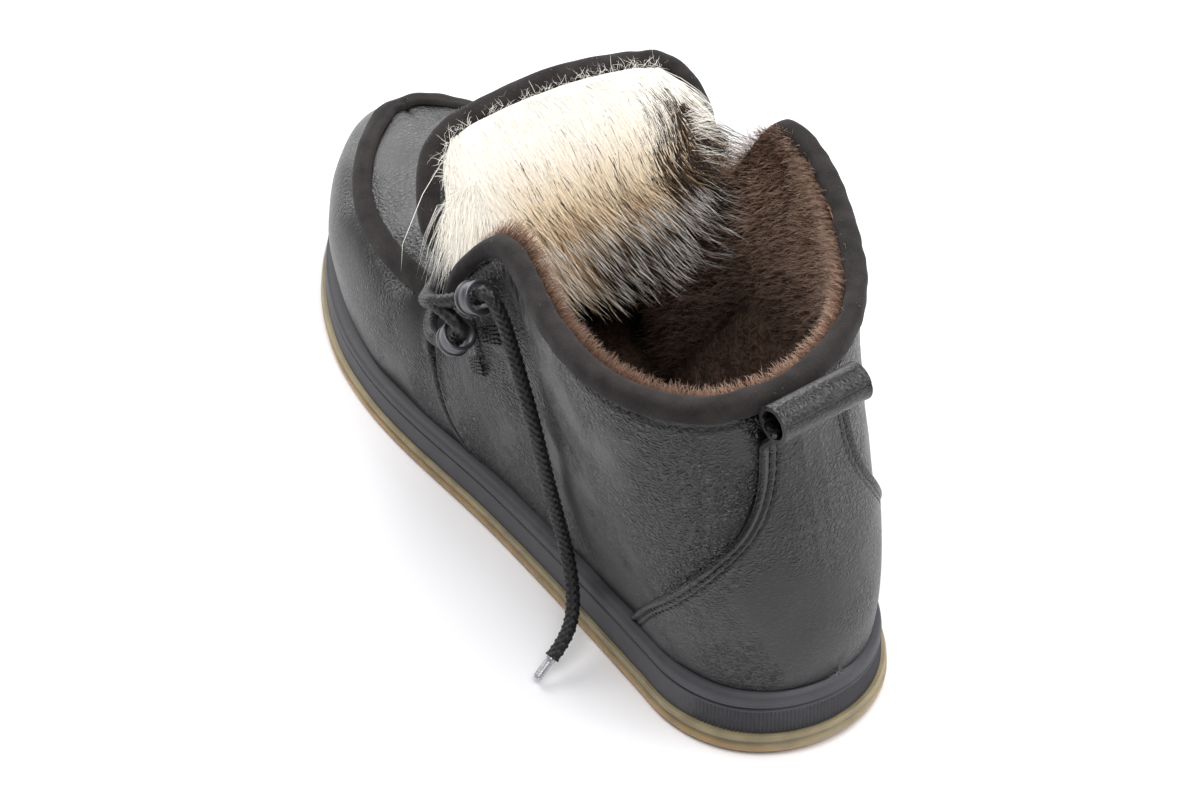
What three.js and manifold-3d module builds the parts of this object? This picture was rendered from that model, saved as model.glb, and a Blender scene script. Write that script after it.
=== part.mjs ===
// A lace-up ankle boot for the left foot: moccasin toe, bound collar, tongue turned forward.
// Millimetres, +Z up, +Y towards the toe, +X towards the inner side of the foot, floor at Z 0.
import * as THREE from "three";
import Module from "manifold-3d";

const wasm = await Module();
wasm.setup();

// Driving sizes of the sole
const SOLE_LENGTH = 300;
const TOE_SPRING = 9;
const TOE_SPRING_FROM = 0.72;
const HEEL_BEVEL = 1.6;
const HEEL_BEVEL_TO = 0.06;
const TOE_SWING = 5.3;
const TOE_SWING_FROM = 0.55;
const HEEL_ROUND = 0.13;
const TOE_ROUND = 0.28;
const TOE_FULLNESS = 2.3;

// Driving sizes of the upper and what is sewn to it
const GAP = 0.3;
const FEATHER_INSET = 6;
const WALL = 2.2;
const OVERLAY = 1.3;
const SEAM_GROOVE = { depth: 0.9, halfShare: 0.007, reach: 2 };
const INSOLE_INSET = 10.5;
const INSOLE_THICKNESS = 5;
const TONGUE_THICKNESS = 3;
const BINDING_DEPTH = 4.5;
const BINDING_INSIDE = 5;
const BINDING_THICKNESS = 1.4;
const BINDING_CROWN = 0.7;
const BINDING_GAP = 0.72;
const APRON_BAND = 9;
const APRON_CROWN = 2.3;
const APRON_EDGE = 1;
const PULL_LOOP = { length: 31.5, outer: 5.4, inner: 3.7, middle: 0.5, height: 123.8, yaw: 6, clear: 0.4 };
const LACE_LOOP = { outer: 5.4, inner: 3.5, waist: 4.7, length: 7, rim: 1.3, sides: 8 };
const LACE_RADIUS = 2.2;
const LACE_SIDES = 3;
const LACE_CLEAR = 2;
const AGLET = { radius: 1.4, length: 7.5 };

// Where along one side's outline, from heel 0 to toe 1, the round of the heel ends and the toe begins
const HEEL_SHARE = 0.22;
const TOE_SHARE = 0.78;
const THROAT_SHARE = 0.6;

// Half widths of the outsole from its centre line, along the length from heel 0 to toe 1
const FOOTPRINT = [
  { along: 0, lateral: 38.5, medial: 38.5 },
  { along: 0.16, lateral: 39.5, medial: 38.5 },
  { along: 0.42, lateral: 45, medial: 35 },
  { along: 0.66, lateral: 53.5, medial: 52 },
  { along: 0.85, lateral: 50, medial: 51 },
  { along: 1, lateral: 43, medial: 44 },
];

// Thickness of the two sole layers along the length
const LAYERS = [
  { along: 0, outsole: 7, midsole: 15 },
  { along: 0.3, outsole: 6.5, midsole: 13.5 },
  { along: 0.65, outsole: 5.5, midsole: 11 },
  { along: 1, outsole: 5, midsole: 10 },
];

// Side profile of each layer: share of its thickness, and how far it stands out from the footprint
const OUTSOLE_PROFILE = [
  { rise: 0, outset: -1.4 },
  { rise: 0.14, outset: -0.1 },
  { rise: 0.45, outset: 0.1 },
  { rise: 0.62, outset: -0.7 },
  { rise: 0.8, outset: -0.1 },
  { rise: 1, outset: -0.6 },
];
const MIDSOLE_PROFILE = [
  { rise: 0, outset: -1.6, rib: 1 },
  { rise: 0.62, outset: -2.1, rib: 1 },
  { rise: 0.66, outset: -3, rib: 0 },
  { rise: 0.71, outset: -2.1, rib: 0 },
  { rise: 0.93, outset: -2.7, rib: 0 },
  { rise: 1, outset: -4.2, rib: 0 },
];

// Upright ribs moulded round the back of the midsole
const HEEL_RIBS = { perSide: 17, depth: 0.6, toShare: 0.15 };

// Bars of the tread: places along the length, between the rim left whole
const TREAD = { depth: 1.8, width: 3, pitch: 12, rim: 13 };
const TREAD_ZONES = [
  { from: -132, to: -60 },
  { from: 14, to: 74 },
];

// Top edge of the upper on each side: collar from the heel, corner, facing, then across the throat
const TOP_EDGE = [
  { share: 0, lateralX: -2.2, lateralY: -125.1, medialX: -2.2, medialY: -125.1, z: 125.3 },
  { share: 0.073, lateralX: -27.6, lateralY: -121.9, medialX: 21.9, medialY: -113.6, z: 125.3 },
  { share: 0.147, lateralX: -42.4, lateralY: -108.1, medialX: 36.1, medialY: -99.4, z: 125.3 },
  { share: 0.22, lateralX: -48.7, lateralY: -89.9, medialX: 45.7, medialY: -82.5, z: 125.3 },
  { share: 0.29, lateralX: -48.3, lateralY: -67.5, medialX: 54.6, medialY: -62.3, z: 125.3 },
  { share: 0.35, lateralX: -44.6, lateralY: -49, medialX: 60.1, medialY: -44.2, z: 125.5 },
  { share: 0.385, lateralX: -42.6, lateralY: -37, medialX: 61.8, medialY: -31.5, z: 125.5 },
  { share: 0.41, lateralX: -42.6, lateralY: -28, medialX: 61.3, medialY: -23, z: 123.5 },
  { share: 0.43, lateralX: -44, lateralY: -20.5, medialX: 61, medialY: -17, z: 117 },
  { share: 0.46, lateralX: -46, lateralY: -10, medialX: 60.5, medialY: -8.5, z: 103 },
  { share: 0.5, lateralX: -43.5, lateralY: 2, medialX: 57, medialY: 2, z: 83.5 },
  { share: 0.53, lateralX: -38.5, lateralY: 10.5, medialX: 51, medialY: 10.5, z: 71.5 },
  { share: 0.56, lateralX: -26, lateralY: 16.8, medialX: 38, medialY: 16.8, z: 68.5 },
  { share: 0.6, lateralX: 6, lateralY: 19, medialX: 6, medialY: 19, z: 72.5 },
];

// Ridge of the vamp from the throat to the toe
const RIDGE = [
  { share: 0.6, x: 6, y: 19, z: 72.5 },
  { share: 0.7, x: 5.5, y: 50, z: 69 },
  { share: 0.78, x: 5, y: 80, z: 65 },
  { share: 0.86, x: 5, y: 104, z: 61.2 },
  { share: 0.93, x: 5.2, y: 120, z: 58 },
  { share: 1, x: 5.3, y: 128.5, z: 55.2 },
];

// How each rib of the upper bends between the sole and the top edge
const BEND = [
  { share: 0, rise: 38, swell: 4, reach: 0, lean: 5, drop: 40, shift: 0 },
  { share: 0.22, rise: 34, swell: 6, reach: 0, lean: 0, drop: 42, shift: 0 },
  { share: 0.39, rise: 32, swell: 6, reach: 0, lean: 1, drop: 40, shift: 0 },
  { share: 0.5, rise: 30, swell: 5, reach: 0.15, lean: 1, drop: 20, shift: 0.012 },
  { share: 0.56, rise: 32, swell: 4.5, reach: 0.45, lean: 0, drop: 3, shift: 0.03 },
  { share: 0.63, rise: 36, swell: 5, reach: 0.68, lean: 0, drop: 0, shift: 0.034 },
  { share: 0.7, rise: 36, swell: 7, reach: 0.7, lean: 0, drop: 0, shift: 0.022 },
  { share: 0.78, rise: 35, swell: 8.5, reach: 0.72, lean: 0, drop: 0, shift: 0 },
  { share: 1, rise: 25, swell: 6.5, reach: 0.75, lean: 0, drop: 0, shift: 0 },
];

// The moccasin seam round the apron, as a height on each rib
const APRON_SEAM = [
  { share: 0.62, v: 0.524 },
  { share: 0.69, v: 0.519 },
  { share: 0.74, v: 0.526 },
  { share: 0.78, v: 0.54 },
  { share: 0.815, v: 0.56 },
  { share: 0.85, v: 0.613 },
  { share: 0.88, v: 0.668 },
  { share: 0.92, v: 0.742 },
  { share: 0.96, v: 0.79 },
  { share: 1, v: 0.87 },
];

// The seam between vamp and quarter, as a place on the outline at each height
const SIDE_SEAM = [
  { v: 0, share: 0.535 },
  { v: 0.056, share: 0.554 },
  { v: 0.139, share: 0.57 },
  { v: 0.21, share: 0.585 },
  { v: 0.274, share: 0.6 },
  { v: 0.357, share: 0.614 },
  { v: 0.44, share: 0.626 },
];

// Edge of the heel counter, as a place round the heel at each height
const COUNTER_EDGE = [
  { v: 0, share: 0.268 },
  { v: 0.166, share: 0.225 },
  { v: 0.4, share: 0.143 },
  { v: 0.5, share: 0.106 },
  { v: 0.6, share: 0.074 },
  { v: 0.7, share: 0.056 },
  { v: 0.83, share: 0.047 },
  { v: 1, share: 0.043 },
];
const COUNTER_TOP = 0.895;

// Tongue from its root under the vamp to its tip: middle line, half width, fall of its sides
const TONGUE = [
  { along: 0, x: 6, y: 24, z: 66, half: 14, fall: 2.6 },
  { along: 0.09, x: 6, y: 20, z: 66.2, half: 15, fall: 2.8 },
  { along: 0.16, x: 5, y: 16, z: 68.6, half: 14.5, fall: 2.8 },
  { along: 0.22, x: 5.5, y: 14.2, z: 74, half: 26, fall: 2.4 },
  { along: 0.3, x: 8.5, y: 15, z: 81, half: 39, fall: 3.4 },
  { along: 0.42, x: 11, y: 20.5, z: 89.5, half: 48.5, fall: 5 },
  { along: 0.55, x: 13.3, y: 28, z: 97, half: 52.5, fall: 6 },
  { along: 0.7, x: 16, y: 37.5, z: 103.5, half: 51.5, fall: 6 },
  { along: 0.84, x: 17.8, y: 45.5, z: 108, half: 48, fall: 6 },
  { along: 0.93, x: 19, y: 50.5, z: 110.3, half: 43, fall: 6 },
  { along: 1, x: 20, y: 53.3, z: 111.4, half: 35, fall: 6 },
];
const TONGUE_BACK = 2;
const TONGUE_GRID = { across: 8, along: 11 };
const TONGUE_HEM = { from: 0.36, depth: 6.3, thickness: 1.6, clear: 0.57, wider: 0.02, reach: 65 };

// Fur pad on the tongue: thickness at the middle, along the tongue
const FUR = [
  { along: 0.17, thickness: 19 },
  { along: 0.28, thickness: 25 },
  { along: 0.5, thickness: 20 },
  { along: 0.75, thickness: 11 },
  { along: 0.885, thickness: 4.5 },
];
const FUR_WIDTH = 0.81;
const FUR_EDGE_THICKNESS = 3;
const FUR_PEAK = 0.3;
const FUR_GRID = { across: 10, along: 7 };
const FUR_FURROW = { count: 5, depth: 0.09 };
// Rows of locks: where each row is rooted, how many stand in it, their size and hang
const LOCK_ROWS = [
  { along: 0.2, count: 9, length: 26, radius: 4, leanY: -0.75, leanZ: -0.65 },
  { along: 0.36, count: 9, length: 27, radius: 3.6, leanY: -0.85, leanZ: -0.5 },
  { along: 0.52, count: 8, length: 24, radius: 3.2, leanY: -0.85, leanZ: -0.45 },
];
const LOCK = { spread: 0.82, fan: 0.3, sweep: 0.15, root: 0.72, sunk: 4, sides: 5 };

// Lace loops on each facing, as places on the upper
const LACE_LOOPS = [
  { name: "upper", share: 0.415, v: 0.859, tabShare: 0.428, tabFrom: 0.67, tabTo: 0.88 },
  { name: "lower", share: 0.449, v: 0.749, tabShare: 0.463, tabFrom: 0.56, tabTo: 0.78 },
];
const LACE_TAB_HALF = 0.013;

// Free end of the lace, from the outer upper loop down the side to the floor
const LACE_END_ROUTE = [
  [-50, -31.1, 110.1],
  [-49.6, -33.7, 112.3],
  [-48.6, -37, 110.5],
  [-47.4, -39.6, 105],
  [-46.7, -43, 97],
  [-46.6, -49.5, 86],
  [-46.6, -54.5, 77],
  [-46, -57.5, 67],
  [-44.6, -60, 53.5],
  [-43, -62.5, 40],
  [-42.4, -66, 30],
  [-43.6, -71, 22.5],
  [-46, -76, 16.5],
  [-49.5, -79.6, 12],
  [-54, -82, 8.6],
  [-57.8, -83.2, 6.3],
];

// Lace under the turned tongue, for the outer side: from the lower loop to the middle, and on
const LACE_BAR_ROUTE = [
  [-52.5, -6, 75],
  [-50, 4, 69.5],
  [-44.5, 14, 66.5],
  [-36, 22, 68.5],
  [-18, 31, 73.5],
];
const LACE_BAR_MIDDLE = [6, 34, 75.5];
const LACE_RISING_ROUTE = [
  [-54, -22, 94.5],
  [-56, -14, 96],
  [-55.5, -4, 90.5],
  [-52.5, 4, 84],
  [-48, 11, 78],
  [-37, 22, 73],
  [-17, 32, 75],
];
const LACE_RISING_MIDDLE = [6, 35.5, 78];
const LACE_FALLING_ROUTE = [
  [30, 33, 77],
  [50, 21.5, 74.5],
  [61.5, 8, 81],
  [68, -5, 91],
  [68.5, -15, 98],
];
const LACE_MIRROR = 6.5;

const MATERIALS = {
  leather: { color: 0x232325, roughness: 0.48, metalness: 0 },
  suede: { color: 0x1b1a19, roughness: 0.95, metalness: 0 },
  midsole: { color: 0x2b2b2e, roughness: 0.6, metalness: 0 },
  gum: { color: 0xb5925c, roughness: 0.4, metalness: 0 },
  footbed: { color: 0x5e4032, roughness: 1, metalness: 0 },
  fur: { color: 0xe8d4b8, roughness: 1, metalness: 0 },
  cord: { color: 0x131314, roughness: 0.85, metalness: 0 },
  loop: { color: 0x2a2b2e, roughness: 0.25, metalness: 0.9 },
  tip: { color: 0xb9bbbf, roughness: 0.3, metalness: 0.1 },
};

const UP = new THREE.Vector3(0, 0, 1);
const SIDES = [
  { name: "lateral", sign: -1 },
  { name: "medial", sign: 1 },
];

// Reading a table on a smooth curve through its rows
function readTable(rows, key, at, column) {
  let i = 0;
  while (i < rows.length - 2 && at > rows[i + 1][key]) i++;
  const last = rows.length - 1;
  const slope = (a, b) => (rows[b][column] - rows[a][column]) / (rows[b][key] - rows[a][key]);
  const span = rows[i + 1][key] - rows[i][key];
  const t = THREE.MathUtils.clamp((at - rows[i][key]) / span, 0, 1);
  const startSlope = slope(Math.max(i - 1, 0), i + 1) * span;
  const endSlope = slope(i, Math.min(i + 2, last)) * span;
  const from = rows[i][column];
  const to = rows[i + 1][column];
  const bend = (1 - t) * (startSlope - (to - from)) - t * (endSlope - (to - from));
  return from + (to - from) * t + t * (1 - t) * bend;
}

// Even steps between two numbers, both included
function steps(from, to, count) {
  return Array.from({ length: count + 1 }, (_, i) => from + ((to - from) * i) / count);
}

// Footprint: place along the length for a share of one side's outline
function alongAt(share) {
  if (share <= HEEL_SHARE) return HEEL_ROUND * (1 - Math.cos(((share / HEEL_SHARE) * Math.PI) / 2));
  if (share <= TOE_SHARE) {
    const t = (share - HEEL_SHARE) / (TOE_SHARE - HEEL_SHARE);
    return THREE.MathUtils.lerp(HEEL_ROUND, 1 - TOE_ROUND, t);
  }
  const turn = (((share - TOE_SHARE) / (1 - TOE_SHARE)) * Math.PI) / 2;
  return 1 - TOE_ROUND + TOE_ROUND * Math.sin(turn) ** (2 / TOE_FULLNESS);
}

function roundedEnds(along) {
  const heel = THREE.MathUtils.clamp((HEEL_ROUND - along) / HEEL_ROUND, 0, 1);
  const toe = THREE.MathUtils.clamp((along - 1 + TOE_ROUND) / TOE_ROUND, 0, 1);
  const toeCap = Math.max(0, 1 - toe ** TOE_FULLNESS) ** (1 / TOE_FULLNESS);
  return Math.sqrt(1 - heel * heel) * toeCap;
}

function outline(side, share, outset, z) {
  const along = alongAt(share);
  const half = readTable(FOOTPRINT, "along", along, side.name) + outset;
  const swing = THREE.MathUtils.clamp((along - TOE_SWING_FROM) / (1 - TOE_SWING_FROM), 0, 1);
  const middle = TOE_SWING * swing * swing;
  const y = (along - 0.5) * (SOLE_LENGTH + 2 * outset);
  return new THREE.Vector3(middle + side.sign * half * roundedEnds(along), y, z);
}

function outwards(side, share) {
  const step = 0.004;
  const before = outline(side, Math.max(share - step, 0), 0, 0);
  const after = outline(side, Math.min(share + step, 1), 0, 0);
  const along = after.sub(before);
  if (share === 0 || share === 1) along.setY(0);
  return new THREE.Vector3(along.y, -along.x, 0).multiplyScalar(side.sign).normalize();
}

// Heights of the sole
function soleBottom(along) {
  const toe = Math.max(0, (along - TOE_SPRING_FROM) / (1 - TOE_SPRING_FROM));
  const heel = Math.max(0, (HEEL_BEVEL_TO - along) / HEEL_BEVEL_TO);
  return TOE_SPRING * toe * toe + HEEL_BEVEL * heel * heel;
}

function layer(along, name) {
  return readTable(LAYERS, "along", along, name);
}

function midsoleBottom(along) {
  return soleBottom(along) + layer(along, "outsole") + GAP;
}

function seat(along) {
  return midsoleBottom(along) + layer(along, "midsole");
}

// Upper: one rib from the sole's edge to the top edge or the ridge
function topPoint(side, share) {
  if (share >= THROAT_SHARE) {
    return new THREE.Vector3(...["x", "y", "z"].map((c) => readTable(RIDGE, "share", share, c)));
  }
  const columns = [`${side.name}X`, `${side.name}Y`, "z"];
  return new THREE.Vector3(...columns.map((c) => readTable(TOP_EDGE, "share", share, c)));
}

function rib(side, share) {
  const read = (column) => readTable(BEND, "share", share, column);
  const footShare = share + read("shift");
  const foot = outline(side, footShare, -FEATHER_INSET, seat(alongAt(footShare)) + GAP);
  const top = topPoint(side, share);
  const away = outwards(side, footShare);
  const lower = foot.clone().addScaledVector(UP, read("rise")).addScaledVector(away, read("swell"));
  const upper = top.clone().lerp(new THREE.Vector3(foot.x, foot.y, top.z), read("reach"));
  upper.addScaledVector(away, read("lean")).addScaledVector(UP, -read("drop"));
  return new THREE.CubicBezierCurve3(foot, lower, upper, top);
}

function onUpper(side, share, v) {
  return rib(side, share).getPoint(v);
}

function upperNormal(side, share, v) {
  const step = 0.003;
  const span = (a, b) => b.clone().sub(a);
  const low = Math.max(v - step, 0);
  const high = Math.min(v + step, 1);
  const alongSole = span(
    onUpper(side, Math.max(share - step, 0), v),
    onUpper(side, Math.min(share + step, 1), v),
  );
  const upwards = span(onUpper(side, share, low), onUpper(side, share, high));
  return alongSole.cross(upwards).multiplyScalar(side.sign).normalize();
}

// Meshes: a surface is a list of points and triangles, with points at one place shared
class Surface {
  constructor() {
    this.points = [];
    this.marks = [];
    this.faces = [];
    this.places = new Map();
  }
  point(p, mark) {
    const key = [p.x, p.y, p.z].map((c) => Math.round(c * 1e3)).join();
    if (!this.places.has(key)) {
      this.places.set(key, this.points.length);
      this.points.push(p);
      this.marks.push(mark);
    }
    return this.places.get(key);
  }
  face(a, b, c) {
    if (a !== b && b !== c && c !== a) this.faces.push([a, b, c]);
  }
  quad(a, b, c, d) {
    this.face(a, b, c);
    this.face(a, c, d);
  }
  grid(rows, turned) {
    for (let i = 0; i + 1 < rows.length; i++) {
      for (let j = 0; j + 1 < rows[i].length; j++) {
        const around = [rows[i][j], rows[i + 1][j], rows[i + 1][j + 1], rows[i][j + 1]];
        this.quad(...(turned ? around.reverse() : around));
      }
    }
  }
  normals() {
    const sums = this.points.map(() => new THREE.Vector3());
    for (const face of this.faces) {
      const [a, b, c] = face.map((i) => this.points[i]);
      const turn = b.clone().sub(a).cross(c.clone().sub(a));
      face.forEach((i) => sums[i].add(turn));
    }
    return sums.map((n) => n.normalize());
  }
}

// A wall between two offsets of an open surface, closed round its edges
function thicken(surface, inner, outer) {
  const normals = surface.normals();
  const wall = new Surface();
  const shifted = (offset) =>
    surface.points.map((p, i) => p.clone().addScaledVector(normals[i], offset(surface.marks[i])));
  wall.points = [...shifted(outer), ...shifted(inner)];
  const under = surface.points.length;
  const open = new Map();
  for (const [a, b, c] of surface.faces) {
    wall.faces.push([a, b, c], [c + under, b + under, a + under]);
    for (const [from, to] of [[a, b], [b, c], [c, a]]) {
      if (!open.delete(`${to},${from}`)) open.set(`${from},${to}`, [from, to]);
    }
  }
  for (const [from, to] of open.values()) wall.quad(to, from, from + under, to + under);
  return wall;
}

function toGeometry(surface) {
  const geometry = new THREE.BufferGeometry();
  const flat = surface.points.flatMap((p) => [p.x, p.y, p.z]);
  geometry.setAttribute("position", new THREE.Float32BufferAttribute(flat, 3));
  geometry.setIndex(surface.faces.flat());
  return geometry;
}

// Boolean work: a closed surface or geometry as a solid, and back
function toSolid(surface) {
  const merged = new Surface();
  const index = surface.points.map((p) => merged.point(p));
  surface.faces.forEach(([a, b, c]) => merged.face(index[a], index[b], index[c]));
  const make = () =>
    new wasm.Manifold(
      new wasm.Mesh({
        numProp: 3,
        vertProperties: new Float32Array(merged.points.flatMap((p) => [p.x, p.y, p.z])),
        triVerts: new Uint32Array(merged.faces.flat()),
      }),
    );
  const solid = make();
  if (solid.volume() > 0) return solid;
  merged.faces.forEach((face) => face.reverse());
  return make();
}

function fromGeometry(geometry) {
  const flat = geometry.index ? geometry.toNonIndexed() : geometry;
  const place = flat.getAttribute("position");
  const surface = new Surface();
  for (let i = 0; i < place.count; i += 3) {
    const corner = (k) => surface.point(new THREE.Vector3().fromBufferAttribute(place, i + k));
    surface.face(corner(0), corner(1), corner(2));
  }
  return surface;
}

function fromSolid(solid) {
  const { vertProperties, triVerts } = solid.getMesh();
  const surface = new Surface();
  for (let i = 0; i < vertProperties.length; i += 3) {
    surface.points.push(new THREE.Vector3().fromArray(vertProperties, i));
  }
  for (let i = 0; i < triVerts.length; i += 3) surface.faces.push([...triVerts.slice(i, i + 3)]);
  return surface;
}

// The main body of a cut, without crumbs left at its edges
function largest(solid) {
  return solid.decompose().reduce((best, body) => (body.volume() > best.volume() ? body : best));
}

const part = new THREE.Group();

function addPiece(name, solid, materialName) {
  const geometry = toGeometry(fromSolid(solid));
  geometry.computeVertexNormals();
  const mesh = new THREE.Mesh(geometry, new THREE.MeshStandardMaterial(MATERIALS[materialName]));
  mesh.name = name;
  part.add(mesh);
}

// Sole layers: rings of the outline joined level by level, with rungs across both ends
function ladder(shares, rings) {
  const solid = new Surface();
  const ringPoints = rings.map((ring) =>
    SIDES.map((side) => shares.map((share) => solid.point(ring(side, share)))),
  );
  for (let k = 0; k + 1 < ringPoints.length; k++) {
    SIDES.forEach((side, s) => solid.grid([ringPoints[k][s], ringPoints[k + 1][s]], side.sign > 0));
  }
  solid.grid([...ringPoints[0]], true);
  solid.grid([...ringPoints[ringPoints.length - 1]], false);
  return toSolid(solid);
}

const PLAIN_SHARES = [
  ...steps(0, HEEL_SHARE, 9),
  ...steps(HEEL_SHARE, TOE_SHARE, 9).slice(1),
  ...steps(TOE_SHARE, 1, 9).slice(1),
];

function makeOutsole() {
  const rings = OUTSOLE_PROFILE.map(({ rise, outset }) => (side, share) => {
    const along = alongAt(share);
    return outline(side, share, outset, soleBottom(along) + rise * layer(along, "outsole"));
  });
  let solid = ladder(PLAIN_SHARES, rings);
  for (const zone of TREAD_ZONES) {
    const count = Math.round((zone.to - zone.from) / TREAD.pitch);
    for (const y of steps(zone.from, zone.to, count)) solid = solid.subtract(treadGroove(y));
  }
  return solid;
}

// One groove across the tread, short of the sole's rim on both sides
function treadGroove(y) {
  const along = y / SOLE_LENGTH + 0.5;
  const share = steps(0, 1, 400).find((s) => alongAt(s) >= along);
  const [left, right] = SIDES.map((side) => outline(side, share, -TREAD.rim, 0).x);
  const box = new THREE.BoxGeometry(right - left, TREAD.width, 2 * TREAD.depth);
  box.translate((left + right) / 2, y, 0);
  return toSolid(fromGeometry(box));
}

function makeMidsole() {
  const ribShares = steps(0, HEEL_RIBS.toShare, 2 * HEEL_RIBS.perSide);
  const shares = [
    ...ribShares,
    ...steps(HEEL_RIBS.toShare, HEEL_SHARE, 3).slice(1),
    ...PLAIN_SHARES.filter((share) => share > HEEL_SHARE),
  ];
  const ribDepth = (share) => {
    const place = ribShares.indexOf(share);
    const fade = Math.min(1, 4 * (1 - share / HEEL_RIBS.toShare));
    return place % 2 === 1 ? HEEL_RIBS.depth * fade : 0;
  };
  const rings = MIDSOLE_PROFILE.map(({ rise, outset, rib: ribbed }) => (side, share) => {
    const along = alongAt(share);
    const z = midsoleBottom(along) + rise * layer(along, "midsole");
    return outline(side, share, outset - ribbed * ribDepth(share), z);
  });
  return ladder(shares, rings);
}

function makeInsole() {
  const rings = [GAP, GAP + INSOLE_THICKNESS].map(
    (height) => (side, share) =>
      outline(side, share, -INSOLE_INSET, seat(alongAt(share)) + height),
  );
  return ladder(PLAIN_SHARES, rings);
}

// The upper's skin on a grid of ribs, both sides joined at heel, toe and ridge
const UPPER_SHARES = [
  ...steps(0, HEEL_SHARE, 6),
  ...steps(HEEL_SHARE, 0.35, 3).slice(1),
  ...steps(0.35, 0.46, 6).slice(1),
  ...steps(0.46, THROAT_SHARE, 7).slice(1),
  ...steps(THROAT_SHARE, TOE_SHARE, 4).slice(1),
  ...steps(TOE_SHARE, 1, 8).slice(1),
];
const UPPER_LEVELS = steps(0, 1, 8);

function upperSkin() {
  const skin = new Surface();
  for (const side of SIDES) {
    const columns = UPPER_SHARES.map((share) => {
      const curve = rib(side, share);
      return UPPER_LEVELS.map((v) => skin.point(curve.getPoint(v)));
    });
    skin.grid(columns, side.sign < 0);
  }
  return skin;
}

const SKIN = upperSkin();

function shell(inner, outer) {
  return toSolid(thicken(SKIN, () => inner, () => outer));
}

function makeUpper() {
  return SIDES.reduce((solid, side) => solid.subtract(seamGroove(side)), shell(-WALL, 0));
}

// Groove where the vamp is sewn to the quarter, from the sole up to the apron
function seamGroove(side) {
  const { depth, halfShare, reach } = SEAM_GROOVE;
  const sections = steps(0, SIDE_SEAM[SIDE_SEAM.length - 1].v, 8).map((v) => {
    const share = readTable(SIDE_SEAM, "v", v, "share");
    const at = (step, offset) =>
      onUpper(side, share + step, v).addScaledVector(upperNormal(side, share, v), offset);
    return [at(-halfShare, reach), at(0, -depth), at(halfShare, reach)];
  });
  return joinSections(sections);
}

// A thick patch of the upper's own form, used to cut overlays out of a shell
function patch(sides, shares, levels, reach) {
  const skin = new Surface();
  for (const side of sides) {
    const columns = shares.map((share) =>
      levels.map((v) => skin.point(onUpper(side, share(v), v), {})),
    );
    skin.grid(columns, side.sign < 0);
  }
  return toSolid(thicken(skin, () => -reach, () => reach));
}

function makeCounter() {
  const edge = (v) => readTable(COUNTER_EDGE, "v", v, "share");
  const shares = steps(0, 1, 8).map((k) => (v) => k * edge(v));
  const cutter = patch(SIDES, shares, steps(0.004, COUNTER_TOP, 10), 3 * OVERLAY);
  return largest(shell(GAP, GAP + OVERLAY).intersect(cutter));
}

// Binding folded over the collar and down the facings
function bindingSection(side, share) {
  const curve = rib(side, share);
  const length = curve.getLength();
  const at = (depth, offset) => {
    const v = curve.getUtoTmapping(1 - Math.max(0, depth) / length);
    const place = curve.getPoint(v);
    place.addScaledVector(upperNormal(side, share, Math.min(v, 0.995)), offset);
    return place.addScaledVector(curve.getTangent(1), Math.max(0, -depth));
  };
  const outside = BINDING_GAP + BINDING_THICKNESS;
  const inside = -WALL - BINDING_GAP - BINDING_THICKNESS;
  const crest = -BINDING_GAP - BINDING_THICKNESS - BINDING_CROWN;
  return [
    at(BINDING_DEPTH, BINDING_GAP),
    at(BINDING_DEPTH, outside * 0.85),
    at(0, outside),
    at(crest * 0.75, BINDING_GAP / 2),
    at(crest, -WALL / 2),
    at(crest * 0.75, -WALL - BINDING_GAP / 2),
    at(0, inside),
    at(BINDING_INSIDE, inside),
    at(BINDING_INSIDE, -WALL - BINDING_GAP),
    at(-BINDING_GAP, -WALL - BINDING_GAP),
    at(-BINDING_GAP, BINDING_GAP),
  ];
}

// A closed tube through a row of sections that have the same number of corners
function joinSections(sections) {
  const tube = new Surface();
  const rings = sections.map((section) => section.map((p) => tube.point(p)));
  const looped = rings.map((ring) => [...ring, ring[0]]);
  tube.grid(looped, false);
  for (const [ring, turned] of [[rings[0], false], [rings[rings.length - 1], true]]) {
    const flat = flatten(ring.map((i) => tube.points[i]));
    for (const [a, b, c] of THREE.ShapeUtils.triangulateShape(flat, [])) {
      if (turned) tube.face(ring[a], ring[c], ring[b]);
      else tube.face(ring[a], ring[b], ring[c]);
    }
  }
  return toSolid(tube);
}

// A section's corners on its own plane, turning the way the section runs
function flatten(corners) {
  const turn = new THREE.Vector3();
  corners.forEach((p, i) => turn.add(p.clone().cross(corners[(i + 1) % corners.length])));
  const normal = turn.normalize();
  const right = corners[1].clone().sub(corners[0]).projectOnPlane(normal).normalize();
  const upward = normal.clone().cross(right);
  return corners.map((p) => new THREE.Vector2(p.dot(right), p.dot(upward)));
}

const BINDING_END = 0.525;

function makeCollarBinding() {
  const shares = UPPER_SHARES.filter((share) => share > 0 && share < BINDING_END);
  const [lateral, medial] = SIDES;
  return joinSections([
    ...shares.map((share) => bindingSection(lateral, share)).reverse(),
    ...[0, ...shares].map((share) => bindingSection(medial, share)),
  ]);
}

// Raised binding round the apron of the moccasin toe
function apronSection(side, share) {
  const curve = rib(side, share);
  const length = curve.getLength();
  const seam = readTable(APRON_SEAM, "share", share, "v");
  const at = (across, offset) => {
    const v = THREE.MathUtils.clamp(seam + (across * APRON_BAND) / length, 0, 0.995);
    return curve.getPoint(v).addScaledVector(upperNormal(side, share, v), GAP + offset);
  };
  const crown = [-0.5, -0.3, 0, 0.3, 0.5].map((across) => {
    const height = across === 0 ? APRON_CROWN : Math.abs(across) < 0.5 ? 0.85 * APRON_CROWN : APRON_EDGE;
    return at(across, height);
  });
  const base = [0.5, 0.25, 0, -0.25, -0.5].map((across) => at(across, 0));
  return [...crown, ...base];
}

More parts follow.
